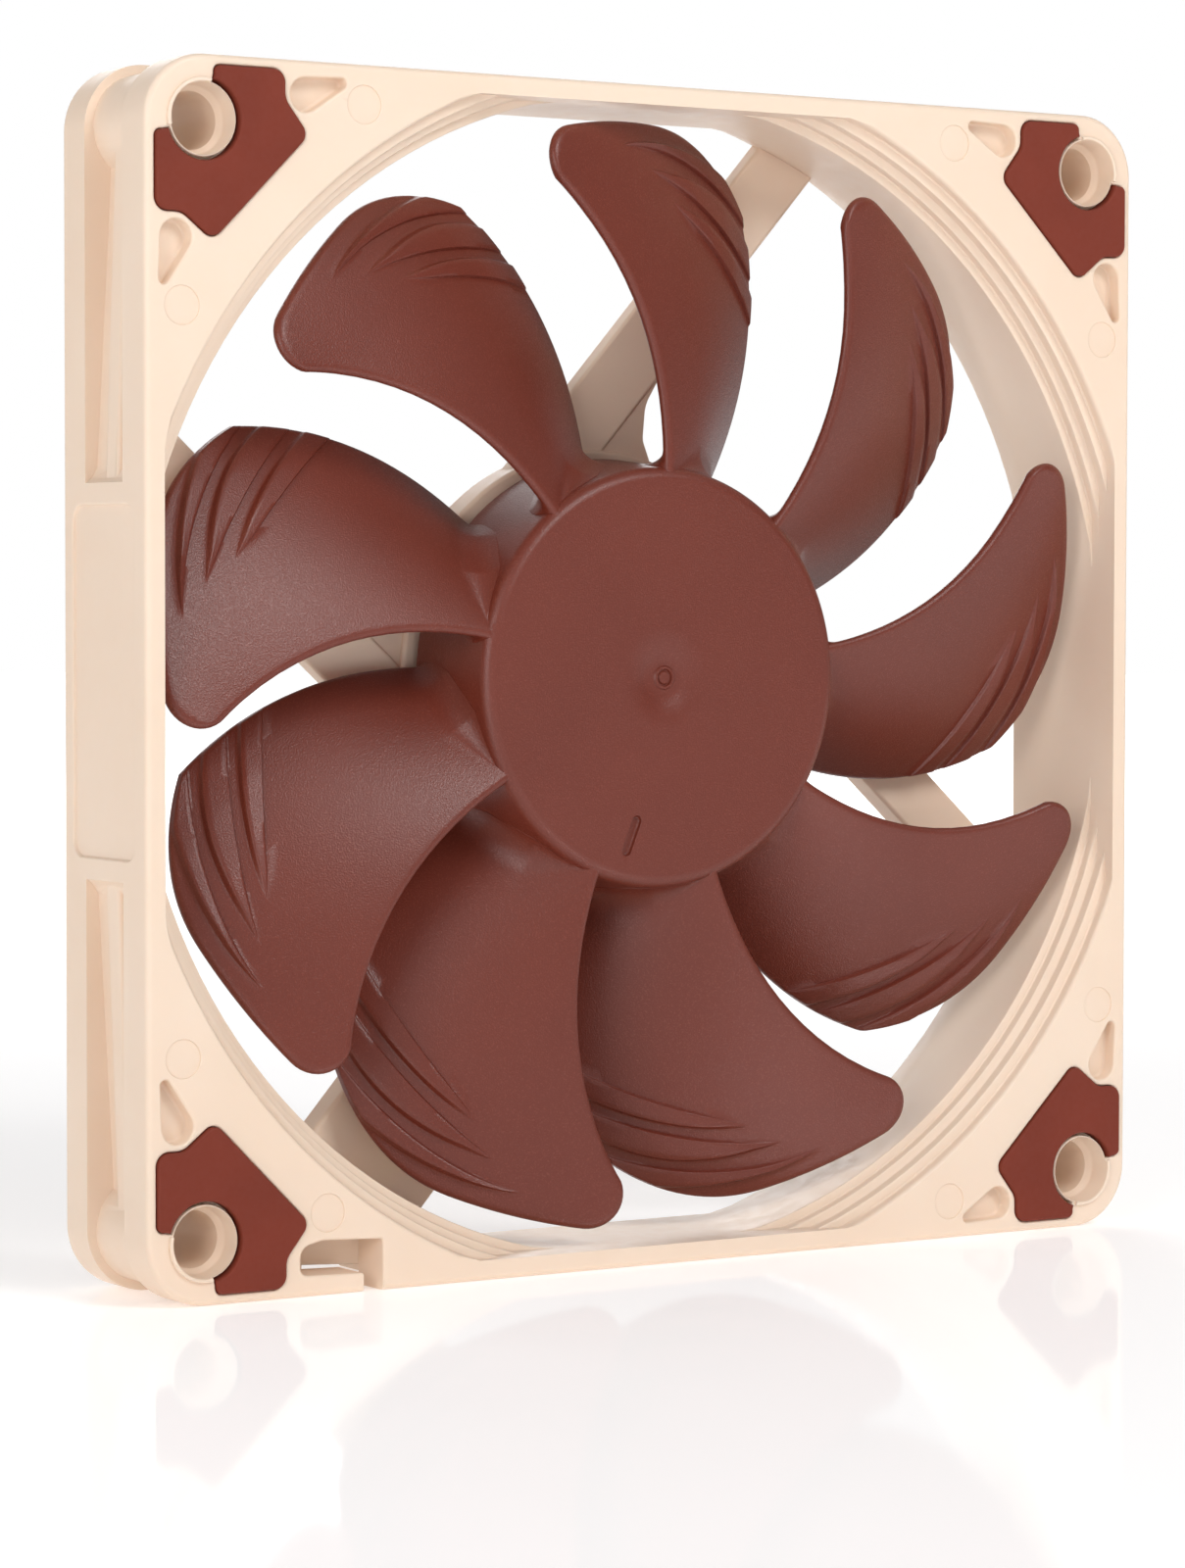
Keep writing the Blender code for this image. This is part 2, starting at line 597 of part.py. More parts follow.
def stator():
    """The laminated core, its two insulators and four coils, round the bearing tube."""
    front, rear = CORE_SPAN
    cover = CORE_RADIUS - 0.5 * MM
    thickness = INSULATOR_THICKNESS
    sheets = (("stator_core", CORE_RADIUS, CORE_TOOTH, front, rear, STEEL),
              ("front_insulator", cover, INSULATOR_TOOTH, front - GAP - thickness, front - GAP, NYLON),
              ("rear_insulator", cover, INSULATOR_TOOTH, rear + GAP, rear + GAP + thickness, NYLON))
    for name, reach, tooth, near, far, spec in sheets:
        bm = bmesh.new()
        prism(bm, stator_outline(reach, tooth), near, far)
        made = finish(name, bm, spec)
        bore = turned(disc(CORE_BORE, near - 1 * MM, far + 1 * MM), 32)
        boolean(made, tool(f"{name}_bore", bore), "DIFFERENCE")
    inner, outer = COIL_REACH
    outside = box_outline(inner, outer, COIL_HALF)
    inside = box_outline(inner - 1 * MM, outer + 1 * MM, COIL_WINDOW_HALF)
    for k in range(4):
        turn = k * pi / 2
        bm = bmesh.new()
        prism(bm, turn_outline(outside, turn), *COIL_SPAN)
        winding = finish(f"coil_{k + 1}", bm, COPPER)
        bm = bmesh.new()
        prism(bm, turn_outline(inside, turn), *COIL_WINDOW_SPAN)
        boolean(winding, tool(f"coil_{k + 1}_space", bm), "DIFFERENCE")


def electronics():
    front, rear = BOARD_SPAN
    board = tube(TUBE_OUTER + GAP, BOARD_RADIUS, front, rear)
    finish("circuit_board", turned(board, 48), BOARD)
    # name, where it stands (degrees, radius in mm), its size in mm: radial, across, height
    chips = (("driver_chip", 45, 8.4, 1.5, 3.6, 0.8, BLACK),
             ("hall_sensor", 135, 11.2, 1.2, 2.0, 0.6, BLACK),
             ("capacitor", 225, 8.5, 1.4, 2.2, 0.7, NYLON))
    for name, angle, radius, radial, across, height, spec in chips:
        outline = box_outline((radius - radial / 2) * MM, (radius + radial / 2) * MM, across / 2 * MM)
        bm = bmesh.new()
        seat = front - FIT_GAP
        prism(bm, turn_outline(outline, radians(angle)), seat - height * MM, seat)
        finish(name, bm, spec)


def main():
    for old in list(bpy.data.objects):
        bpy.data.objects.remove(old)
    rotor = bpy.data.objects.new("rotor_axis", None)
    rotor.location = place(0, DEPTH / 2, 0)
    bpy.context.scene.collection.objects.link(rotor)
    housing()
    pads()
    bearing_parts()
    stator()
    electronics()
    finish("rear_label", turned(disc(*LABEL_DISC), 48), PAPER)
    impeller(rotor)
    rotor_parts(rotor)


main()
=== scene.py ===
"""The finished look of the slim case fan: its moulded housing, impeller, pads and motor, built
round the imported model. Outlines and depths are in millimetres, as (x, z) from the fan's axis and
the depth from the intake side; place() turns them into the frame's metres."""

import json
from math import acos, atan, atan2, cos, hypot, pi, radians, sin, sqrt

import bmesh
import bpy
from mathutils import Matrix, Vector


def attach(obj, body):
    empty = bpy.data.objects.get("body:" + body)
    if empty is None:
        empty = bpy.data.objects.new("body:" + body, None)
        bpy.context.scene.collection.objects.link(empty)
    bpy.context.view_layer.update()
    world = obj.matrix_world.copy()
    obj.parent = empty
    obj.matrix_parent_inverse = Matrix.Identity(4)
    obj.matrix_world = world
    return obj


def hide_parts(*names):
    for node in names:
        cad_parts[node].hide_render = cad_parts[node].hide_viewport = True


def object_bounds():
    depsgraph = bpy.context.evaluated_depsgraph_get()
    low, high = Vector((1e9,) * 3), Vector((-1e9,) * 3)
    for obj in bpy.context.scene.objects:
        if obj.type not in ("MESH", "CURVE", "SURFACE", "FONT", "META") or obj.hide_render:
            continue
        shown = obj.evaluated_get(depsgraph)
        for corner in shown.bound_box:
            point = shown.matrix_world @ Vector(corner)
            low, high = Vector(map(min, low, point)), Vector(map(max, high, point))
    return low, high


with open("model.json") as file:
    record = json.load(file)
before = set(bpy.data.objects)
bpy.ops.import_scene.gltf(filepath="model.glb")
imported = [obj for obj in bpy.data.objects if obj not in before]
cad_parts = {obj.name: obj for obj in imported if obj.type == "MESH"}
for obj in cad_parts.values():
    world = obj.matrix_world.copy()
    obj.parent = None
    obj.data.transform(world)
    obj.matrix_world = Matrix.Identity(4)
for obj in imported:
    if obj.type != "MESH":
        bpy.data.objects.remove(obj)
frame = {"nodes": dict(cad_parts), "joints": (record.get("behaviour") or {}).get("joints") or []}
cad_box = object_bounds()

MM = 0.001
AXIS = Vector(frame["joints"][0]["pos_m"])
FRONT = cad_box[0].y
DEPTH = (cad_box[1].y - FRONT) / MM
HALF = (cad_box[1].x - cad_box[0].x) / 2 / MM       # half of the housing's side

# housing
FACE = 0.3                      # the flanges stand back from the pads by this
CORNER_RADIUS = 5.0
EDGE = 0.5                      # rounding of the housing's outer edges
SCREW = 41.25                   # from the axis to a screw hole, along X and along Z
BORE_RADIUS = 2.18
COUNTERBORE_RADIUS = 2.7
COUNTERBORE_DEPTH = 2.3
COLLAR_RADIUS = 3.0
POST_RADIUS = 4.0
DUCT_FLAT = 44.45
INLET = ((47.8, 1.3), (46.95, 2.3), (46.25, 3.2))       # radius, depth of its foot
THROAT_RADIUS = 45.5
OUTLET_RADIUS = 46.3
GROOVE = (4.0, 10.0)            # depths between the two flanges
PAD_THICKNESS = 1.2
PAD_CLEARANCE = 0.05

# struts and motor base
BASE_RADIUS = 18.0
BASE_FRONT = 11.0
STRUT_ANGLE = radians(48)
STRUT_SIDES = (-16.45, -11.3)   # the two long sides' distances from the axis
CORD_STRUT = 2                  # the wide one, down to the left
CORD_STRUT_SIDES = (-16.45, -4.2)
STRUT_START = 7.0               # inside the motor base
STRUT_FRONT = (12.0, 11.2)
STRUT_REACH = 46.0

# impeller
HUB_RADIUS = 16.5
HUB_REAR_RADIUS = 17.3
HUB_FRONT = 1.1
HUB_REAR = 10.4
HUB_INNER = 15.4
BLADES = 9
TIP_RADIUS = 43.5
TIP_CHORD = 24.4                # along the arc, near the tip
NOSE = 2.6                      # radius of the tip's front corner
LEAN = 0.87                     # how far the leading edge runs forward for each mm outwards
FILLET = 2.3                    # where a blade meets the hub

QUADRANTS = ((1, 1), (-1, 1), (-1, -1), (1, -1))
CORNERS = ("upper_right", "upper_left", "lower_left", "lower_right")


def place(x, depth, z):
    """A point of the fan, in the frame's metres."""
    return Vector((AXIS.x + x * MM, FRONT + depth * MM, AXIS.z + z * MM))


# ---------------------------------------------------------------- outlines

def bend(centre, radius, first, sweep, steps):
    """Points along an arc from an angle, through a sweep."""
    return [(centre[0] + radius * cos(first + sweep * k / steps),
             centre[1] + radius * sin(first + sweep * k / steps)) for k in range(steps + 1)]


def circle(radius, steps, centre):
    return bend(centre, radius, 0.0, 2 * pi, steps)[:-1]


def rounded(points, steps=8):
    """An outline from corners (x, z, radius)."""
    outline = []
    for k, (x, z, radius) in enumerate(points):
        corner = Vector((x, z))
        if radius == 0:
            outline.append((x, z))
            continue
        back = (Vector(points[k - 1][:2]) - corner).normalized()
        ahead = (Vector(points[(k + 1) % len(points)][:2]) - corner).normalized()
        half = acos(max(-1.0, min(1.0, back.dot(ahead)))) / 2
        centre = corner + (back + ahead).normalized() * radius / sin(half)
        reach = radius * cos(half) / sin(half)
        start, end = corner + back * reach - centre, corner + ahead * reach - centre
        first = atan2(start.y, start.x)
        sweep = (atan2(end.y, end.x) - first + pi) % (2 * pi) - pi
        outline += bend(centre, radius, first, sweep, steps)
    return outline


def offset(outline, distance):
    """The outline (counter-clockwise) grown by a distance."""
    grown = []
    for k, (x, z) in enumerate(outline):
        here = Vector((x, z))
        before = (here - Vector(outline[k - 1])).normalized()
        after = (Vector(outline[(k + 1) % len(outline)]) - here).normalized()
        first, second = Vector((before.y, -before.x)), Vector((after.y, -after.x))
        mitre = (first + second).normalized()
        grown.append(tuple(here + mitre * distance / max(0.5, mitre.dot(first))))
    return grown


def turned(outline, turn):
    return [(x * cos(turn) - z * sin(turn), x * sin(turn) + z * cos(turn)) for x, z in outline]


def mirrored(outline, sx, sz):
    """The outline in another quadrant, still counter-clockwise."""
    moved = [(x * sx, z * sz) for x, z in outline]
    return moved if sx * sz > 0 else moved[::-1]


# ---------------------------------------------------------------- solids

def face_on(a, b, depth):
    """Lays an outline (x, z) flat, at a depth."""
    return place(a, depth, b)


def across_strut(turn):
    """Lays a strut's cross-section (distance from the axis, depth) along the strut."""
    along = Vector((cos(STRUT_ANGLE + turn), sin(STRUT_ANGLE + turn)))
    across = Vector((along.y, -along.x))

    def lay(a, b, length):
        at = across * a + along * length
        return place(at.x, b, at.y)
    return lay


def side_on(turn):
    """Lays an outline (depth, height) on one of the housing's four sides."""
    def lay(a, b, out):
        return place(out * cos(turn) - b * sin(turn), a, out * sin(turn) + b * cos(turn))
    return lay


def skin(levels, lay=face_on, bm=None):
    """A closed solid through outlines of equal length: each level is (outline, height)."""
    bm = bm or bmesh.new()
    outline, height = levels[0]
    ring = [bm.verts.new(lay(a, b, height)) for a, b in outline]
    bm.faces.new(ring)
    for outline, height in levels[1:]:
        edges = [bm.edges.get((ring[k - 1], ring[k])) for k in range(len(ring))]
        raised = bmesh.ops.extrude_edge_only(bm, edges=edges)["geom"]
        below, above = set(ring), {}
        for vert in raised:
            if isinstance(vert, bmesh.types.BMVert):
                ends = [edge.other_vert(vert) for edge in vert.link_edges]
                above.update({end: vert for end in ends if end in below})
        ring = [above[vert] for vert in ring]
        for vert, (a, b) in zip(ring, outline):
            vert.co = lay(a, b, height)
    bm.faces.new(ring)
    return bm


def rim(outline, face, into, radius, steps):
    """Levels round a rim, from its face to its wall; into says which way the wall goes."""
    if not radius:
        return [(outline, face)]
    return [(offset(outline, -radius * (1 - sin(pi / 2 * k / steps))),
             face + into * abs(radius) * (1 - cos(pi / 2 * k / steps))) for k in range(steps + 1)]


def slab(outline, near, far, near_edge=0.0, far_edge=0.0, steps=4):
    """A plate between two depths whose rims are rounded."""
    return (rim(outline, near, 1, near_edge, steps)
            + rim(outline, far, -1, far_edge, steps)[::-1])


def pocket(outline, surface, floor, lip=0.0, foot=0.0, steps=3):
    """A cutter that opens at a face: its mouth has a rounded lip and its floor a rounded foot."""
    into = 1 if floor > surface else -1
    mouth = [(offset(outline, lip), surface - into)]
    if lip:
        mouth += rim(outline, surface, into, -lip, steps)
    return mouth + rim(outline, floor, -into, foot, steps)[::-1]


def lathe(profile, steps, centre=(0.0, 0.0), bm=None):
    """A profile of (radius, depth) spun round an axis; its ends lie on that axis, or it closes."""
    made = bmesh.new()
    cx, cz = centre
    ring = [made.verts.new(place(cx + r, depth, cz)) for r, depth in profile]
    edges = [made.edges.new(pair) for pair in zip(ring, ring[1:])]
    if profile[0][0] > 0:
        edges.append(made.edges.new((ring[-1], ring[0])))
    bmesh.ops.spin(made, geom=ring + edges, cent=place(cx, 0, cz), axis=(0, 1, 0),
                   angle=2 * pi, steps=steps, use_merge=True)
    bmesh.ops.remove_doubles(made, verts=made.verts, dist=1e-7)
    return append(bm, made) if bm else made


def append(bm, other):
    mesh = bpy.data.meshes.new("joined")
    other.to_mesh(mesh)
    other.free()
    bm.from_mesh(mesh)
    bpy.data.meshes.remove(mesh)
    return bm


def combine(bm, other, operation):
    """One solid joined to another, or cut by it."""
    parts = []
    for shape in (bm, other):
        bmesh.ops.remove_doubles(shape, verts=shape.verts, dist=1e-7)
        bmesh.ops.recalc_face_normals(shape, faces=shape.faces)
        mesh = bpy.data.meshes.new("shape")
        shape.to_mesh(mesh)
        shape.free()
        part = bpy.data.objects.new("shape", mesh)
        bpy.context.scene.collection.objects.link(part)
        parts.append(part)
    body, operand = parts
    step = body.modifiers.new("combine", "BOOLEAN")
    step.operation = operation
    step.solver = "MANIFOLD"
    step.object = operand
    graph = bpy.context.evaluated_depsgraph_get()
    result = bpy.data.meshes.new_from_object(body.evaluated_get(graph))
    made = bmesh.new()
    made.from_mesh(result)
    bpy.data.meshes.remove(result)
    for part in parts:
        mesh = part.data
        bpy.data.objects.remove(part)
        bpy.data.meshes.remove(mesh)
    return made


def rounding(radius, edge, near, steps=5, rear=False):
    """The quarter round of a turned rim: points (radius, depth) from its face to its wall."""
    sign = -1 if rear else 1
    return [(radius - edge + edge * sin(pi / 2 * k / steps),
             near + sign * edge * (1 - cos(pi / 2 * k / steps))) for k in range(steps + 1)]


def finish(name, bm, material, body, replaces=(), sharp=38):
    """The solid as a finished piece that rides on a body."""
    bmesh.ops.remove_doubles(bm, verts=bm.verts, dist=1e-7)
    bmesh.ops.recalc_face_normals(bm, faces=bm.faces)
    mesh = bpy.data.meshes.new(name)
    bm.to_mesh(mesh)
    bm.free()
    mesh.shade_smooth()
    mesh.set_sharp_from_angle(angle=radians(sharp))
    mesh.materials.append(material)
    piece = bpy.data.objects.new(name, mesh)
    bpy.context.scene.collection.objects.link(piece)
    weighted = piece.modifiers.new("even_shading", "WEIGHTED_NORMAL")
    weighted.keep_sharp = True
    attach(piece, body)
    if replaces:
        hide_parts(*replaces)
    return piece


# ---------------------------------------------------------------- materials

class Wire:
    """A socket that carries a number; sums and products with it add their own Math nodes."""

    def __init__(self, paint, socket):
        self.paint = paint
        self.socket = socket

    def math(self, operation, first, second):
        return self.paint.node("ShaderNodeMath", {"operation": operation}, {0: first, 1: second})

    def __add__(self, other):
        return self.math("ADD", self, other)

    def __mul__(self, other):
        return self.math("MULTIPLY", self, other)

    def __rsub__(self, other):
        return self.math("SUBTRACT", other, self)

    __radd__ = __add__
    __rmul__ = __mul__


class Paint:
    """A material: constants are set on its shader, patterns are wired in."""

    def __init__(self, name, **constants):
        self.material = bpy.data.materials.new(name)
        self.material.use_nodes = True
        self.tree = self.material.node_tree
        self.shader = self.tree.nodes["Principled BSDF"]
        for socket, value in constants.items():
            self.shader.inputs[socket.replace("_", " ")].default_value = value

    def node(self, kind, settings=None, values=None, output=0):
        """Adds a node; its settings come first, then the values or wires of its sockets."""
        made = self.tree.nodes.new(kind)
        for key, value in (settings or {}).items():
            setattr(made, key, value)
        for key, value in (values or {}).items():
            self.wire(made.inputs[key], value)
        return Wire(self, made.outputs[output])

    def wire(self, socket, value):
        if isinstance(value, Wire):
            self.tree.links.new(value.socket, socket)
        else:
            socket.default_value = value

    def place(self):
        return self.node("ShaderNodeTexCoord", output="Object")

    def noise(self, scale, detail=2.0, roughness=0.5, distortion=0.0):
        """Noise on the piece's own coordinates; scale counts features in a metre."""
        return self.node("ShaderNodeTexNoise", {}, {"Vector": self.place(), "Scale": scale,
                                                    "Detail": detail, "Roughness": roughness,
                                                    "Distortion": distortion})

    def blend(self, factor, first, second):
        """A colour between two, by a factor."""
        return self.node("ShaderNodeMix", {"data_type": "RGBA"}, {0: factor, 6: first, 7: second},
                         output=2)

    def ramp(self, wire, low, high, first=0.0, last=1.0):
        """A number that goes from first to last while the wire goes from low to high."""
        return self.node("ShaderNodeMapRange", {}, {"Value": wire, "From Min": low, "From Max": high,
                                                    "To Min": first, "To Max": last})

    def bump(self, height, strength, distance):
        return self.node("ShaderNodeBump", {}, {"Height": height, "Strength": strength,
                                                "Distance": distance})

    def shade(self, **wires):
        for socket, wire in wires.items():
            self.wire(self.shader.inputs[socket.replace("_", " ")], wire)
        return self.material


def rgb(red, green, blue):
    return (red, green, blue, 1.0)


def housing_plastic():
    """Satin beige plastic with faint flow marks and a very fine moulded skin."""
    paint = Paint("housing_plastic", Subsurface_Weight=0.12, Subsurface_Scale=0.0015,
                  Subsurface_Radius=(1.0, 0.65, 0.45), IOR=1.5, Specular_IOR_Level=0.35)
    flow = paint.noise(38.0, 3.0, 0.55, 0.6)
    skin_noise = paint.noise(900.0, 3.0)
    colour = paint.blend(paint.ramp(flow, 0.35, 0.65), rgb(0.820, 0.645, 0.505),
                         rgb(0.845, 0.680, 0.545))
    rough = paint.ramp(skin_noise, 0.3, 0.7, 0.36, 0.50)
    height = paint.noise(2600.0, 2.0) * 0.5 + flow * 0.5
    return paint.shade(Base_Color=colour, Roughness=rough,
                       Normal=paint.bump(height, 0.25, 0.00003))


def impeller_plastic():
    """Red-brown plastic with the fine spark-eroded grain of its mould; lighter specks in its colour
    are partly painted glints.
    """
    paint = Paint("impeller_plastic", IOR=1.5, Specular_IOR_Level=0.5)
    grain = paint.noise(8000.0, 1.0, 0.5)
    cloud = paint.noise(60.0, 3.0)
    # painted glints: lighter specks where the grain is high, partly the grain's tone and partly
    # painted sparkle
    grain_glint_speck = paint.ramp(grain, 0.55, 0.75)
    ground = paint.blend(paint.ramp(cloud, 0.35, 0.65), rgb(0.132, 0.0205, 0.0095),
                         rgb(0.148, 0.0240, 0.0115))
    colour = paint.blend(grain_glint_speck * 0.3, ground, rgb(0.30, 0.080, 0.055))
    rough = paint.ramp(grain, 0.35, 0.65, 0.44, 0.33)
    return paint.shade(Base_Color=colour, Roughness=rough, Normal=paint.bump(grain, 1.0, 0.000025))


def pad_rubber():
    """Smooth matte silicone rubber."""
    paint = Paint("pad_rubber", IOR=1.42, Specular_IOR_Level=0.4)
    cloud = paint.noise(150.0, 3.0)
    fine = paint.noise(2500.0, 2.0)
    colour = paint.blend(paint.ramp(cloud, 0.35, 0.65), rgb(0.170, 0.0260, 0.0120),
                         rgb(0.190, 0.0295, 0.0140))
    return paint.shade(Base_Color=colour, Roughness=paint.ramp(fine, 0.3, 0.7, 0.58, 0.72),
                       Normal=paint.bump(fine, 0.2, 0.00003))


def turned_metal(name, dark, light):
    """Metal off the lathe: faint rings round the axis."""
    paint = Paint(name, Metallic=1.0)
    rings = paint.node("ShaderNodeTexWave", {"wave_type": "RINGS", "rings_direction": "Y"},
                       {"Vector": paint.node("ShaderNodeMapping", {}, {
                           "Vector": paint.place(), "Location": (0.0, 0.0, -AXIS.z)}),
                        "Scale": 900.0, "Distortion": 1.5, "Detail": 1.0}, output=1)
    cloud = paint.noise(220.0, 4.0)
    colour = paint.blend(paint.ramp(cloud, 0.3, 0.7), dark, light)
    return paint.shade(Base_Color=colour, Roughness=rings * 0.12 + (cloud * 0.1 + 0.20),
                       Normal=paint.bump(rings, 0.15, 0.00002))


def laminated_steel():
    """A stack of thin punched sheets, seen as fine lines across its edge."""
    paint = Paint("laminated_steel", Metallic=1.0)
    sheets = paint.node("ShaderNodeTexWave", {"wave_type": "BANDS", "bands_direction": "Y"},
                        {"Vector": paint.place(), "Scale": 320.0, "Distortion": 0.4}, output=1)
    cloud = paint.noise(180.0, 3.0)
    colour = paint.blend(cloud, rgb(0.30, 0.30, 0.31), rgb(0.50, 0.50, 0.50))
    return paint.shade(Base_Color=colour, Roughness=sheets * 0.2 + 0.3,
                       Normal=paint.bump(sheets, 0.6, 0.00005))


def porous_bronze():
    """Pressed bronze powder, open at its surface to hold oil."""
    paint = Paint("sintered_bronze", Metallic=1.0)
    pores = paint.noise(3200.0, 2.0, 0.6)
    colour = paint.blend(paint.ramp(pores, 0.35, 0.6), rgb(0.20, 0.12, 0.06), rgb(0.50, 0.33, 0.19))
    return paint.shade(Base_Color=colour, Roughness=paint.ramp(pores, 0.3, 0.7, 0.7, 0.45),
                       Normal=paint.bump(pores, 0.6, 0.00004))


def ferrite():
    """Dark gritty magnet material."""
    paint = Paint("magnet_ferrite")
    grit = paint.noise(2200.0, 4.0, 0.7)
    colour = paint.blend(grit, rgb(0.028, 0.028, 0.030), rgb(0.075, 0.074, 0.073))
    return paint.shade(Base_Color=colour, Roughness=paint.ramp(grit, 0.3, 0.7, 0.5, 0.75),
                       Normal=paint.bump(grit, 0.4, 0.00004))


def copper_winding():
    """Enamelled wire, layer on layer."""
    paint = Paint("enamelled_copper", Metallic=1.0, Coat_Roughness=0.15)
    turns = paint.node("ShaderNodeTexWave", {"wave_type": "BANDS", "bands_direction": "DIAGONAL"},
                       {"Vector": paint.place(), "Scale": 900.0, "Distortion": 1.0}, output=1)
    colour = paint.blend(turns, rgb(0.28, 0.075, 0.025), rgb(0.60, 0.22, 0.08))
    return paint.shade(Base_Color=colour, Roughness=turns * -0.1 + 0.38, Coat_Weight=turns * 0.6,
                       Normal=paint.bump(turns, 0.8, 0.00008))


def nylon():
    """Slightly see-through white plastic."""
    paint = Paint("insulator_nylon", Subsurface_Weight=0.1, Subsurface_Scale=0.001)
    cloud = paint.noise(260.0, 3.0)
    colour = paint.blend(cloud, rgb(0.70, 0.69, 0.63), rgb(0.82, 0.81, 0.76))
    return paint.shade(Base_Color=colour, Roughness=paint.ramp(cloud, 0.3, 0.7, 0.4, 0.55),
                       Normal=paint.bump(paint.noise(2400.0), 0.2, 0.00003))


def solder_mask():
    """Green mask over copper tracks that show as slightly lighter, raised lines."""
    paint = Paint("board_green", Coat_Roughness=0.1)
    tracks = paint.node("ShaderNodeTexVoronoi", {"feature": "DISTANCE_TO_EDGE"},
                        {"Vector": paint.place(), "Scale": 420.0})
    line = paint.ramp(tracks, 0.02, 0.06, 1.0, 0.0)
    colour = paint.blend(line, rgb(0.020, 0.110, 0.045), rgb(0.045, 0.210, 0.085))
    return paint.shade(Base_Color=colour, Roughness=line * -0.1 + 0.38, Coat_Weight=0.5 - line * 0.2,
                       Normal=paint.bump(line, 0.5, 0.00003))


def black_epoxy():
    """The dull casing of the chips."""
    paint = Paint("black_epoxy")
    fine = paint.noise(3000.0, 2.0)
    colour = paint.blend(fine, rgb(0.011, 0.011, 0.012), rgb(0.024, 0.024, 0.025))
    return paint.shade(Base_Color=colour, Roughness=paint.ramp(fine, 0.3, 0.7, 0.45, 0.65),
                       Normal=paint.bump(fine, 0.3, 0.00003))


def label_film():
    """A blank satin film with a thin printed ring near its rim."""
    paint = Paint("label_film", Coat_Roughness=0.25)
    centred = paint.node("ShaderNodeMapping", {}, {"Vector": paint.place(),
                                                   "Location": (-AXIS.x, 0.0, -AXIS.z),
                                                   "Scale": (1.0, 0.0, 1.0)})
    away = paint.node("ShaderNodeVectorMath", {"operation": "LENGTH"}, {0: centred}, output="Value")
    ring = paint.ramp(away, 0.0148, 0.0149) * paint.ramp(away, 0.0151, 0.0152, 1.0, 0.0)
    fibre = paint.noise(1500.0, 3.0)
    ground = paint.blend(fibre, rgb(0.70, 0.69, 0.67), rgb(0.80, 0.79, 0.77))
    colour = paint.blend(ring, ground, rgb(0.190, 0.0385, 0.0215))
    return paint.shade(Base_Color=colour, Roughness=paint.ramp(fibre, 0.3, 0.7, 0.32, 0.45),
                       Coat_Weight=0.3 - ring * 0.1, Normal=paint.bump(fibre, 0.1, 0.00002))


# ---------------------------------------------------------------- housing

def square_duct(radius, count=144):
    """A circle cut off by the duct's four flat stretches."""
    outline = []
    for k in range(count):
        angle = 2 * pi * (k + 0.5) / count
        reach = min(radius, DUCT_FLAT / abs(cos(angle)), DUCT_FLAT / abs(sin(angle)))
        outline.append((reach * cos(angle), reach * sin(angle)))
    return outline


def duct_space():
    """The air's way: three rounded inlet steps, the throat and a flared outlet."""
    lip, round_over = 0.35, 0.18
    first = INLET[0][0]
    rings = [(first + lip, -1.0)]
    rings += [(first + lip * (1 - sin(a)), FACE + lip * (1 - cos(a)))
              for a in (0, pi / 6, pi / 3, pi / 2)]
    for k, (radius, foot) in enumerate(INLET):
        inner = INLET[k + 1][0] if k + 1 < len(INLET) else THROAT_RADIUS
        rings += [(radius, foot - 0.12), (radius - 0.12, foot)]
        rings += [(inner + round_over * (1 - sin(a)), foot + 0.05 + round_over * (1 - cos(a)))
                  for a in (0, pi / 4, pi / 2)]
    rings += [(THROAT_RADIUS, 10.0), (OUTLET_RADIUS, 13.2), (OUTLET_RADIUS + 0.3, DEPTH - FACE),
              (OUTLET_RADIUS + 0.3, DEPTH + 1)]
    return skin([(square_duct(radius), depth) for radius, depth in rings])


def post_outline():
    """What stands between the flanges at a corner is left by this: the space round the post,
    from one side's mid panel to the next side's."""
    near, far = 15.0, 37.5
    shallow, deep = 1.0, 2.2
    out = HALF + 1.0
    wall = HALF - deep
    start = atan2(-sqrt(POST_RADIUS ** 2 - (wall - SCREW) ** 2), wall - SCREW)
    inner = [(HALF + 0.2, near - 0.4), (HALF - 0.5, near + 0.1), (HALF - shallow, near + 0.9),
             (wall, far)]
    post = bend((SCREW, SCREW), POST_RADIUS, start, pi / 2 - 2 * start, 20)
    other = [(z, x) for x, z in reversed(inner)]
    around = [(near - 0.4, out), (out, out), (out, near - 0.4)]
    return (inner + post + other + around)[::-1]


def side_ribs():
    """The low rib between the two grooves on each half of each side."""
    bm = bmesh.new()
    section = rounded([(5.8, -1.0, 0), (7.8, -1.0, 0), (7.8, 0.0, 0.35), (5.8, 0.0, 0.35)], 3)
    for quarter in range(4):
        turn = quarter * pi / 2
        for flip in (1, -1):
            def lay(a, b, along, turn=turn, flip=flip):
                drop = 0.45 + 0.035 * (along - 14.0)
                x, z = HALF - drop + b, flip * along
                return place(x * cos(turn) - z * sin(turn), a, x * sin(turn) + z * cos(turn))
            skin([(section, 14.0), (section, 26.0), (section, 39.2)], lay, bm)
    return bm


def panels():
    """The shallow rounded recess in the middle of each side."""
    bm = bmesh.new()
    outline = rounded([(2.2, -13.1, 1.3), (12.1, -13.1, 1.3), (12.1, 13.1, 1.3), (2.2, 13.1, 1.3)])
    for quarter in range(4):
        skin(pocket(outline, HALF, HALF - 0.28, 0.18, 0.1), side_on(quarter * pi / 2), bm)
    return bm


PAD_HALF = ((40.3, 44.5, 0), (40.3, 45.2, 0.5), (34.45, 45.2, 1.0), (34.45, 43.0, 1.6),
            (32.45, 40.45, 0.9))        # x, z, corner radius, up to the diagonal


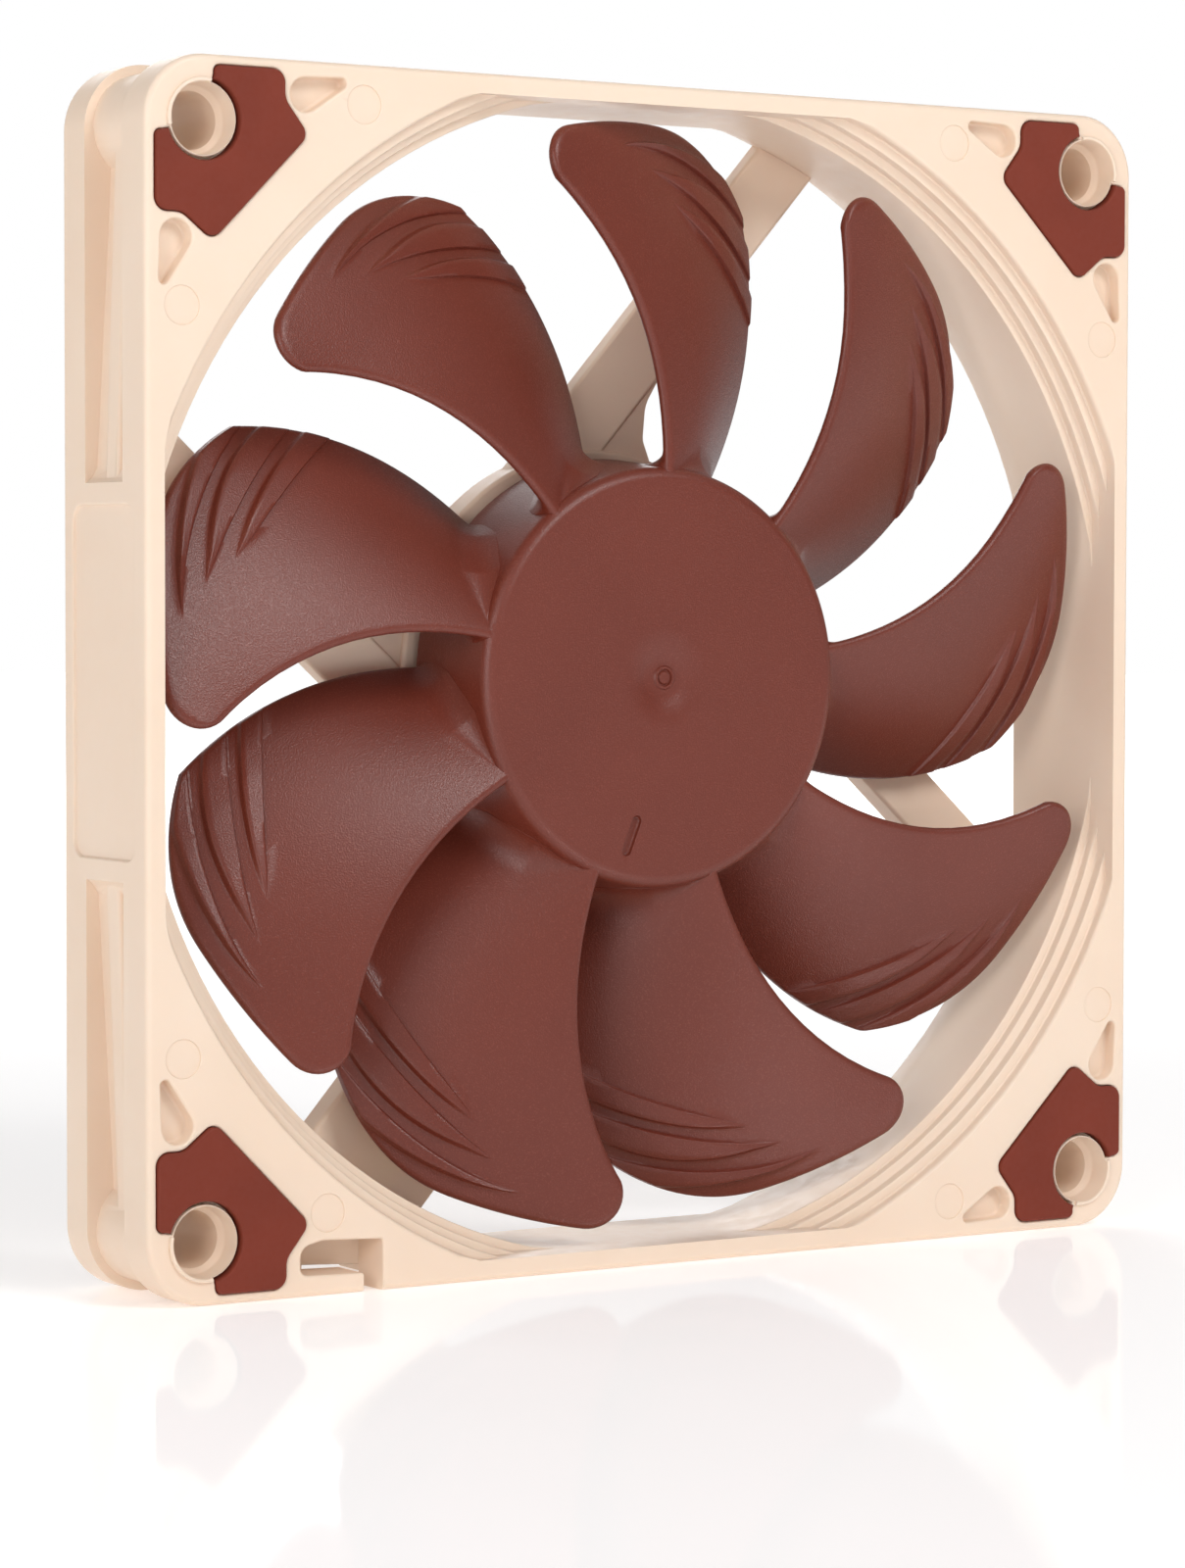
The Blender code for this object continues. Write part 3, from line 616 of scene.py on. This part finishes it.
def pad_outline(clearance=0.0):
    """The upper right pad: an L of rubber that wraps the screw hole's inner side."""
    outline = rounded(list(PAD_HALF) + [(z, x, radius) for x, z, radius in reversed(PAD_HALF)])
    if clearance:
        outline = offset(outline, clearance)
    radius = COLLAR_RADIUS + (0.05 if clearance == 0 else -0.2)
    last = atan2(outline[-1][1] - SCREW, outline[-1][0] - SCREW)
    first = atan2(outline[0][1] - SCREW, outline[0][0] - SCREW)
    sweep = (first - last) % (2 * pi) - 2 * pi
    return outline + bend((SCREW, SCREW), radius, last, sweep, 28)


def teardrop_outline(swap):
    """A pocket beside the pad, round at the pad and narrow towards the middle of the side."""
    big, small = Vector((32.6, 43.45)), Vector((29.5, 44.45))
    big_radius, small_radius = 1.3, 0.42
    between = small - big
    lean = acos((big_radius - small_radius) / between.length)
    heading = atan2(between.y, between.x)
    outline = bend(big, big_radius, heading + lean, 2 * pi - 2 * lean, 16)
    outline += bend(small, small_radius, heading - lean, 2 * lean, 6)
    return [(z, x) for x, z in reversed(outline)] if swap else outline


def strut_section(sides):
    """Across a strut: a sloping front, a flat rear and small rounds."""
    near, far = sides
    return rounded([(near, STRUT_FRONT[0], 0.35), (far, STRUT_FRONT[1], 0.35),
                    (far, DEPTH - FACE, 0.3), (near, DEPTH - FACE, 0.3)], 4)


def gusset():
    """The curve that leads a strut's inner side into the motor base."""
    return rounded([(6.4, 24.0, 0), (5.0, 21.7, 3.0), (4.75, 18.9, 1.5), (5.8, 16.2, 0),
                    (-0.4, 17.2, 0), (5.7, 24.4, 0)], 8)


def motor_base():
    """The round plate behind the hub."""
    edge = 0.35
    profile = [(0.0, BASE_FRONT)] + rounding(BASE_RADIUS, edge, BASE_FRONT)
    profile += rounding(BASE_RADIUS, edge, DEPTH, rear=True)[::-1] + [(0.0, DEPTH)]
    return lathe(profile, 128)


def film_recess():
    """The round recess for the film, with a small chamfer at its mouth."""
    profile = [(0.0, 13.4), (16.5, 13.4), (16.5, DEPTH - 0.15), (16.7, DEPTH), (16.7, DEPTH + 1),
               (0.0, DEPTH + 1)]
    return lathe(profile, 128)


def bearing_seat():
    """The space for the bearing tube in the base's front."""
    rear = BASE_FRONT + 1.8
    return lathe([(0.0, BASE_FRONT - 1), (4.0, BASE_FRONT - 1), (4.0, rear), (0.0, rear)], 48)


def screw_spaces():
    """Bore, ledge and counterbore, front and rear, with rounded mouths."""
    bm = bmesh.new()
    lip = 0.12
    half = [(COUNTERBORE_RADIUS + lip, -1.0), (COUNTERBORE_RADIUS + lip, 0.0),
            (COUNTERBORE_RADIUS + 0.04, 0.04), (COUNTERBORE_RADIUS, lip),
            (COUNTERBORE_RADIUS - 0.08, COUNTERBORE_DEPTH - 0.5),
            (COUNTERBORE_RADIUS - 0.25, COUNTERBORE_DEPTH - 0.3),
            (BORE_RADIUS + 0.1, COUNTERBORE_DEPTH), (BORE_RADIUS, COUNTERBORE_DEPTH + 0.12)]
    profile = [(0.0, -1.0)] + half + [(r, DEPTH - d) for r, d in reversed(half)] + [(0.0, DEPTH + 1)]
    for sx, sz in QUADRANTS:
        lathe(profile, 48, (sx * SCREW, sz * SCREW), bm)
    return bm


def collars():
    """The rings that stand round the screw holes, flush with the pads."""
    bm = bmesh.new()
    edge = 0.12
    profile = [(0.0, 0.0)] + rounding(COLLAR_RADIUS, edge, 0.0, 3)
    profile += rounding(COLLAR_RADIUS, edge, DEPTH, 3, rear=True)[::-1] + [(0.0, DEPTH)]
    for sx, sz in QUADRANTS:
        lathe(profile, 48, (sx * SCREW, sz * SCREW), bm)
    return bm


def ejector_marks():
    """Very shallow round marks left by the mould's ejector pins."""
    bm = bmesh.new()
    for sx, sz in QUADRANTS:
        for x, z in ((27.6, 43.0), (43.0, 27.6)):
            if (sx, sz, x) == (-1, -1, 27.6):
                x, z = 30.8, 39.8               # above the cord's window
            spot = circle(1.45, 48, (sx * x, sz * z))
            skin(pocket(spot, FACE, FACE + 0.12, 0.06), bm=bm)
            skin(pocket(spot, DEPTH - FACE, DEPTH - FACE - 0.12, 0.06), bm=bm)
    return bm


def corner_pockets():
    """The teardrop pockets beside the front pads."""
    bm = bmesh.new()
    for sx, sz in QUADRANTS:
        for swap in (False, True):
            if (sx, sz, swap) == (-1, -1, False):
                continue                        # the cord's window is here
            outline = mirrored(teardrop_outline(swap), sx, sz)
            skin(pocket(outline, FACE, FACE + 1.3, 0.22, 0.25, 4), bm=bm)
    return bm


def pad_recesses():
    """The shallow seats of the pads, front and rear."""
    bm = bmesh.new()
    for sx, sz in QUADRANTS:
        outline = mirrored(pad_outline(PAD_CLEARANCE), sx, sz)
        floor = PAD_THICKNESS + 0.05
        skin(pocket(outline, FACE, floor, 0.18), bm=bm)
        skin(pocket(outline, DEPTH - FACE, DEPTH - floor, 0.18), bm=bm)
    return bm


def cord_window():
    """The cord's way through the lower left edge: a window and a slit in the front flange, open
    space between the flanges, and a wider gap in the rear one."""
    window = rounded([(-33.1, -44.4, 0.6), (-27.6, -44.55, 0.25), (-27.6, -47.5, 0),
                      (-26.0, -47.5, 0), (-26.0, -42.1, 0.15), (-31.2, -41.85, 0.6),
                      (-33.1, -42.3, 1.0)], 6)
    way = [(-33.1, -47.5), (-22.3, -47.5), (-22.3, -42.4), (-33.1, -42.4)]
    gap = [(-27.6, -47.5), (-22.3, -47.5), (-22.3, -42.4), (-27.6, -42.4)]
    bm = skin(pocket(window, FACE, GROOVE[0] + 0.1, 0.22, 0, 4))
    skin([(way, GROOVE[0] + 0.05), (way, GROOVE[1] - 0.05)], bm=bm)
    return skin([(gap, GROOVE[1] - 0.1), (gap, DEPTH + 1)], bm=bm)


def cord_channel():
    """The channel for the cord along the back of the wide strut."""
    middle = sum(CORD_STRUT_SIDES) / 2
    rear = DEPTH - FACE
    section = [(middle - 2.8, rear + 1), (middle - 2.5, rear - 0.3), (middle - 2.5, rear - 1.3),
               (middle - 2.2, rear - 1.6), (middle + 2.2, rear - 1.6), (middle + 2.5, rear - 1.3),
               (middle + 2.5, rear - 0.3), (middle + 2.8, rear + 1)]
    return skin([(section, 0.0), (section, 57.0)], across_strut(CORD_STRUT * pi / 2))


def housing(material):
    """The block: its outside first, then the duct, the base with its struts, and the spaces."""
    block = rounded([(sx * HALF, sz * HALF, CORNER_RADIUS) for sx, sz in QUADRANTS], 16)
    body = skin(slab(block, FACE, DEPTH - FACE, EDGE, EDGE))
    grooves = bmesh.new()
    for quarter in range(4):
        outline = turned(post_outline(), quarter * pi / 2)
        skin([(outline, depth) for depth in GROOVE], bm=grooves)
    body = combine(body, grooves, "DIFFERENCE")
    body = combine(body, side_ribs(), "UNION")
    body = combine(body, panels(), "DIFFERENCE")
    body = combine(body, collars(), "UNION")
    body = combine(body, duct_space(), "DIFFERENCE")
    body = combine(body, motor_base(), "UNION")
    for k in range(4):
        section = strut_section(CORD_STRUT_SIDES if k == CORD_STRUT else STRUT_SIDES)
        strut = skin([(section, STRUT_START), (section, STRUT_REACH)], across_strut(k * pi / 2))
        body = combine(body, strut, "UNION")
        if k != CORD_STRUT:
            web = turned(gusset(), k * pi / 2)
            body = combine(body, skin([(web, 11.45), (web, DEPTH - FACE)]), "UNION")
    for space in (film_recess(), bearing_seat(), cord_channel(), screw_spaces(), pad_recesses(),
                  corner_pockets(), ejector_marks(), cord_window()):
        body = combine(body, space, "DIFFERENCE")
    return finish("housing_shell", body, material, "housing", ("frame",))


def pads(material):
    """Four rubber pads in front and four behind; each one's outer rim is the rounder one."""
    outline = pad_outline()
    for name, (sx, sz) in zip(CORNERS, QUADRANTS):
        corner = mirrored(outline, sx, sz)
        for end, near in (("front", 0.0), ("rear", DEPTH - PAD_THICKNESS)):
            edges = (0.2, 0.05) if end == "front" else (0.05, 0.2)
            bm = skin(slab(corner, near, near + PAD_THICKNESS, *edges))
            finish(f"{end}_rubber_{name}", bm, material, "housing",
                   (f"{end}_pad_{name}",))


# ---------------------------------------------------------------- impeller

# each ridge: chord and radius where it starts, how far its hub side falls and with what power,
# its tip side's bulge, fall and power; the one nearest the hub comes first
RIDGES = ((0.49, 37.4, 6.2, 0.75, 0.0, 4.0, 1.3),
          (0.45, 39.65, 5.15, 0.95, 0.0, 2.9, 3.2),
          (0.39, 41.5, 3.3, 1.8, 2.25, 0.9, 2.0))
RIDGE_HEIGHT = (0.34, 0.50)     # at the hub side's wall and at the tip side


def sweep_share(radius):
    """How far a radius is swept forward, from none at the hub to all of it near the tip."""
    return max(0.0, (radius - HUB_RADIUS) / 25.0) ** 1.65


def blade_angles(radius):
    """The leading and the trailing edge's angles, in degrees."""
    return 88.9 + 17.7 * sweep_share(radius), 57.6 + 15.5 * sweep_share(radius)


def tip_radius(chord):
    """The tip's outline: a round nose at the leading edge, a sweep inwards at the trailing one."""
    behind = min(chord * TIP_CHORD, NOSE * (LEAN + hypot(1, LEAN)))
    turn = atan(LEAN) + acos(behind / (NOSE * hypot(1, LEAN)) - 1)
    rear = 4.6 * max(0.0, (chord - 0.62) / 0.38) ** 2.6
    return TIP_RADIUS - NOSE * (1 - sin(turn)) - rear


def blade_depth(chord, radius):
    """The blade's camber, with its leading corner drawn towards the intake."""
    horn = 0.65 * max(0.0, (radius - 35.0) / 7.0) ** 2 * (1 - chord) ** 3
    return 1.5 + 8.4 * (0.62 * chord + 0.38 * chord ** 2) - horn


def middle(chord, radius):
    """The blade's middle surface, in millimetres as (x, depth, z)."""
    leading, trailing = blade_angles(radius)
    angle = radians(leading + (trailing - leading) * chord)
    return Vector((radius * cos(angle), blade_depth(chord, radius), radius * sin(angle)))


def ridge_sides(ridge, chord):
    """The radii of a ridge's two sides at this chord."""
    start, radius, fall, power, bulge, tip_fall, tip_power = ridge
    share = max(0.0, (chord - start) / (1 - start))
    hub_side = radius - fall * share ** power
    tip_side = radius + bulge * share * (1 - share) - tip_fall * share ** tip_power
    return hub_side - 0.04, max(tip_side, hub_side) + 0.08


def ridge_rise(ridge, chord):
    """How much of its full height a ridge has at this chord."""
    start = ridge[0]
    share = max(0.0, (chord - start) / (1 - start))
    swell = min(1.0, share / 0.3) ** 0.8
    settle = 1.0 - 0.55 * max(0.0, (chord - 0.80) / 0.20)
    return swell * settle * min(1.0, (1.0 - chord) / 0.02)


def hub_wall(depth):
    """The hub's radius at a depth: it widens a little towards the rear."""
    return HUB_RADIUS + (HUB_REAR_RADIUS - HUB_RADIUS) * max(0.0, (depth - 2.1) / (HUB_REAR - 2.1))


def blade_columns(chord):
    """From the hub to the tip: (radius, height of the ridge there), the same count everywhere."""
    root = hub_wall(blade_depth(chord, HUB_RADIUS))
    tip = tip_radius(chord)
    columns = [(root + step, 0.0) for step in
               (-0.9, -0.3, 0.03, 0.09, 0.2, 0.36, 0.6, 0.9, 1.3, 1.8, 2.4)]
    inner = columns[-1][0]
    spare = 0.95                # kept free at the tip for the three ridges
    for number, ridge in enumerate(RIDGES):
        hub_side, tip_side = ridge_sides(ridge, chord)
        room = tip - spare * (3 - number) / 3 - 0.15
        hub_side = min(hub_side, room)
        tip_side = min(tip_side, room + 0.25)
        width = tip_side - hub_side
        count = 12 if number == 0 else 4
        reach = hub_side - 0.02 - inner
        columns += [(inner + reach * k / count, 0.0) for k in range(1, count + 1)]
        wall = min(0.10, 0.25 * width)
        flank = min(0.42, 0.4 * width)
        rise = ridge_rise(ridge, chord)
        low, high = RIDGE_HEIGHT[0] * rise, RIDGE_HEIGHT[1] * rise
        top_start, top_end = hub_side + wall, tip_side - flank
        columns += [(hub_side, low * 0.08), (hub_side + 0.3 * wall, low * 0.5),
                    (hub_side + 0.75 * wall, low * 0.9)]
        columns += [(top_start + (top_end - top_start) * k / 4, low + (high - low) * k / 4)
                    for k in range(5)]
        columns += [(top_end + 0.15 * flank, high * 0.93), (top_end + 0.5 * flank, high * 0.5),
                    (top_end + 0.85 * flank, high * 0.07), (tip_side, 0.0)]
        inner = tip_side
    reach = tip - inner
    columns += [(inner + reach * step, 0.0) for step in (0.3, 0.55, 0.75, 0.88, 0.96, 0.99, 1.0)]
    return columns


def blade_rows():
    """Chord positions, close together at both edges and where the ridges start."""
    edge = [NOSE * hypot(1, LEAN) * (1 - cos((pi / 2 + atan(LEAN)) * k / 14)) / TIP_CHORD
            for k in range(15)]
    middle_rows = [0.265, 0.30, 0.34] + [0.38 + 0.0125 * k for k in range(16)]
    rest = [0.58 + 0.02 * k for k in range(19)]
    last = [0.955, 0.966, 0.975, 0.981, 0.987, 0.991, 0.995, 0.9985, 1.0]
    return edge + middle_rows + rest + last


def rounded_edge(distance, radius):
    """Share of the full thickness at a distance from a rounded edge."""
    share = min(1.0, max(0.0, distance / radius))
    return sqrt(max(0.0, 1 - (1 - share) ** 2))


def blade():
    """One blade as two sheets that meet at its rounded edges; it reaches into the hub's wall."""
    rows = blade_rows()
    columns = [blade_columns(chord) for chord in rows]
    count = len(columns[0])
    bm = bmesh.new()
    for side in (-1, 1):
        made = bmesh.ops.create_grid(bm, x_segments=len(rows) - 1, y_segments=count - 1, size=0.5)
        for vert in made["verts"]:
            row = round((vert.co.x + 0.5) * (len(rows) - 1))
            column = round((vert.co.y + 0.5) * (count - 1))
            chord = rows[row]
            radius, ridge = columns[row][column]
            at = middle(chord, radius)
            ahead = middle(chord + 0.01, radius) - middle(chord - 0.01, radius)
            out = middle(chord, radius + 0.1) - middle(chord, radius - 0.1)
            normal = ahead.cross(out).normalized()
            if normal.y < 0:
                normal = -normal
            leading, trailing = blade_angles(radius)
            length = radians(leading - trailing) * radius
            full = 0.85 + 0.35 * sin(pi * chord)
            edge = min(rounded_edge(chord * length, 0.5), rounded_edge((1 - chord) * length, 0.35),
                       rounded_edge(tip_radius(chord) - radius, 0.45))
            thick = full / 2 * edge
            from_hub = radius - hub_wall(at.y)
            room = at.y - full / 2 - HUB_FRONT - 0.6 if side < 0 else HUB_REAR - 0.1 - at.y - full / 2
            taper = min(1.0, (1 - chord) * length / 2.0, (0.2 + chord * length) / 1.5)
            fillet = max(0.0, min(FILLET, room)) * sqrt(max(0.0, taper))
            if from_hub < fillet:
                gap = fillet - max(0.03, from_hub)
                thick += (fillet - sqrt(max(0.0, fillet ** 2 - gap ** 2))) * edge
            if side < 0:
                thick += ridge * edge
            point = at + normal * side * thick
            flat = Vector((point.x, 0, point.z))
            astray = flat.length - hub_wall(point.y) - from_hub
            share = min(1.0, max(0.0, 1 - (from_hub - 1.0) / 2.5))
            vert.co = place(*(point - flat.normalized() * astray * share))
        if side > 0:
            back = list({face for vert in made["verts"] for face in vert.link_faces})
            bmesh.ops.reverse_faces(bm, faces=back)
    bmesh.ops.remove_doubles(bm, verts=bm.verts, dist=2e-6)
    root = [edge for edge in bm.edges if edge.is_boundary]
    bmesh.ops.holes_fill(bm, edges=root, sides=0)
    return bm


def hub():
    """The deep cup, with the gate's ring in its middle."""
    edge = 1.0
    gate = [(0.0, HUB_FRONT + 0.03), (0.45, HUB_FRONT + 0.03), (0.55, HUB_FRONT + 0.16),
            (0.62, HUB_FRONT + 0.16), (0.70, HUB_FRONT - 0.01), (0.86, HUB_FRONT - 0.01),
            (0.98, HUB_FRONT + 0.14), (2.0, HUB_FRONT + 0.12), (2.25, HUB_FRONT),
            (4.0, HUB_FRONT), (8.0, HUB_FRONT), (12.0, HUB_FRONT)]
    profile = gate + rounding(HUB_RADIUS, edge, HUB_FRONT, 8)
    profile += [(hub_wall(depth), depth) for depth in (4.0, 6.0, 8.0, HUB_REAR - 0.3)]
    profile += [(HUB_REAR_RADIUS - 0.25, HUB_REAR), (HUB_INNER + 0.2, HUB_REAR),
                (HUB_INNER, HUB_REAR - 0.2), (HUB_INNER, HUB_FRONT + 1.4),
                (HUB_INNER - 0.3, HUB_FRONT + 1.1), (0.0, HUB_FRONT + 1.1)]
    return lathe(profile, 160)


def balance_slot():
    """A short slot pressed into the cap."""
    start, end, radius = Vector((-3.5, -13.45)), Vector((-2.55, -11.15)), 0.42
    heading = atan2(end.y - start.y, end.x - start.x)
    outline = (bend(end, radius, heading - pi / 2, pi, 8)
               + bend(start, radius, heading + pi / 2, pi, 8))
    return skin(pocket(outline, HUB_FRONT, HUB_FRONT + 0.4, 0.08, 0.2))


def impeller(material):
    """Hub and nine blades in one moulding."""
    blades = blade()
    bmesh.ops.spin(blades, geom=blades.verts[:] + blades.edges[:] + blades.faces[:],
                   cent=place(0, 0, 0), axis=(0, 1, 0), angle=2 * pi * (BLADES - 1) / BLADES,
                   steps=BLADES - 1, use_duplicate=True)
    body = combine(hub(), blades, "UNION")
    body = combine(body, balance_slot(), "DIFFERENCE")
    return finish("impeller_moulding", body, material, "rotor", ("impeller",),
                  sharp=50)


# ---------------------------------------------------------------- small pieces

def rear_film(material):
    """The thin film in the base's recess."""
    edge = 0.05
    profile = [(0.0, 13.45), (16.1, 13.45), (16.1, 13.8 - edge), (16.1 - edge, 13.8), (0.0, 13.8)]
    finish("rear_film", lathe(profile, 96), material, "housing", ("rear_label",))


def dress_inner_pieces():
    """The motor's own pieces keep their shapes and get their finishes."""
    steel = turned_metal("turned_steel", rgb(0.42, 0.42, 0.43), rgb(0.60, 0.60, 0.61))
    brass = turned_metal("turned_brass", rgb(0.58, 0.38, 0.13), rgb(0.76, 0.55, 0.24))
    copper, white, epoxy = copper_winding(), nylon(), black_epoxy()
    finishes = {"rotor_yoke": steel, "shaft": steel, "shaft_bush": brass, "bearing_tube": brass,
                "sleeve_bearing": porous_bronze(), "ring_magnet": ferrite(),
                "stator_core": laminated_steel(), "circuit_board": solder_mask(),
                "driver_chip": epoxy, "hall_sensor": epoxy, "capacitor": white,
                "front_insulator": white, "rear_insulator": white, "thrust_disc": white,
                "retaining_ring": white}
    for k in range(1, 5):
        finishes[f"coil_{k}"] = copper
    for name, material in finishes.items():
        mesh = frame["nodes"][name].data
        mesh.materials.clear()
        mesh.materials.append(material)


# ---------------------------------------------------------------- studio

ROOM_LIGHT = 0.43
WHITE = rgb(1.0, 1.0, 1.0)
DARK_SIDE = (0.545, -0.84, -0.04)       # towards the unlit end of the room
DARK_EDGES = (0.50, 0.92)       # cosines at which the dark begins and is full
DARK_SHARE = 0.80
SOFT_BOXES = (                  # direction from the fan, distance, size in metres, radiance
    ("key_box", (0.20, -0.78, 0.59), 0.9, 0.40, 9.0),
    ("left_box", (-0.82, -0.52, 0.22), 0.9, 0.45, 4.6),
    ("rear_box", (0.35, 0.85, 0.40), 1.0, 0.60, 3.0),
)


class Room(Paint):
    """The world round the fan, wired as a material is."""

    def __init__(self, name):
        self.world = bpy.data.worlds.new(name)
        self.world.use_nodes = True
        self.tree = self.world.node_tree


def lay_floor():
    """A pale disc with a faint polish, lit a little from inside so that it fades to white."""
    bm = bmesh.new()
    bmesh.ops.create_circle(bm, cap_ends=True, segments=96, radius=2.5)
    mesh = bpy.data.meshes.new("floor")
    bm.to_mesh(mesh)
    bm.free()
    disc = bpy.data.objects.new("floor", mesh)
    disc.location.z = -0.00005
    bpy.context.scene.collection.objects.link(disc)
    paint = Paint("floor", Base_Color=rgb(0.96, 0.96, 0.96), Roughness=0.9, Specular_IOR_Level=0.0,
                  Emission_Strength=1.0)
    away = paint.node("ShaderNodeVectorMath", {"operation": "LENGTH"}, {0: paint.place()},
                      output="Value")
    # painted light: the floor glows, dimly near the fan and almost white far from it
    paint.shade(Emission_Color=paint.blend(paint.ramp(away, 0.15, 0.9), rgb(0.41, 0.40, 0.40),
                                           rgb(0.95, 0.95, 0.95)))
    gloss = paint.node("ShaderNodeBsdfGlossy", {}, {"Color": WHITE, "Roughness": 0.06})
    mixed = paint.node("ShaderNodeMixShader", {}, {0: 0.22, 1: Wire(paint, paint.shader.outputs[0]),
                                                   2: gloss})
    paint.wire(paint.tree.nodes["Material Output"].inputs["Surface"], mixed)
    mesh.materials.append(paint.material)


def light_room():
    """The room is seen white, and lights the fan more softly than it looks."""
    room = Room("white_room")
    heading = room.node("ShaderNodeTexCoord", output="Generated")
    toward = room.node("ShaderNodeVectorMath", {"operation": "DOT_PRODUCT"},
                       {0: heading, 1: Vector(DARK_SIDE).normalized()}, output="Value")
    strength = room.node("ShaderNodeMapRange", {"interpolation_type": "SMOOTHSTEP"},
                         {"Value": toward, "From Min": DARK_EDGES[0], "From Max": DARK_EDGES[1],
                          "To Min": ROOM_LIGHT, "To Max": ROOM_LIGHT * (1 - DARK_SHARE)})
    lighting = room.node("ShaderNodeBackground", {}, {"Color": WHITE, "Strength": strength})
    seen = room.node("ShaderNodeBackground", {}, {"Color": WHITE, "Strength": 1.0})
    looking = room.node("ShaderNodeLightPath", output="Is Camera Ray")
    mixed = room.node("ShaderNodeMixShader", {}, {0: looking, 1: lighting, 2: seen})
    room.wire(room.tree.nodes["World Output"].inputs["Surface"], mixed)
    bpy.context.scene.world = room.world


def hang_soft_boxes():
    """Round area lights that face the fan."""
    centre = place(0, DEPTH / 2, 0)
    for name, toward, distance, size, radiance in SOFT_BOXES:
        light = bpy.data.lights.new(name, "AREA")
        light.shape = "DISK"
        light.size = size
        light.energy = radiance * pi * pi * (size / 2) ** 2
        lamp = bpy.data.objects.new(name, light)
        lamp.location = centre + Vector(toward).normalized() * distance
        lamp.rotation_euler = (centre - lamp.location).to_track_quat("-Z", "Y").to_euler()
        bpy.context.scene.collection.objects.link(lamp)


def set_camera():
    """The camera at the left front, a little above the fan's middle, looking slightly down."""
    lens = bpy.data.cameras.new("camera")
    lens.lens = 108.835
    lens.sensor_width = 36.0
    lens.clip_start = 0.01
    viewer = bpy.data.objects.new("camera", lens)
    yaw, pitch, roll = radians(33.025), radians(-2.407), radians(-0.100)
    viewer.matrix_world = (Matrix.Translation(place(-206.89, -306.84, 7.26))
                           @ Matrix.Rotation(-yaw, 4, "Z") @ Matrix.Rotation(pi / 2 + pitch, 4, "X")
                           @ Matrix.Rotation(-roll, 4, "Z"))
    bpy.context.scene.collection.objects.link(viewer)
    bpy.context.scene.camera = viewer


lay_floor()
light_room()
hang_soft_boxes()
set_camera()
housing(housing_plastic())
pads(pad_rubber())
impeller(impeller_plastic())
rear_film(label_film())
dress_inner_pieces()
bpy.context.scene.view_settings.view_transform = "Standard"
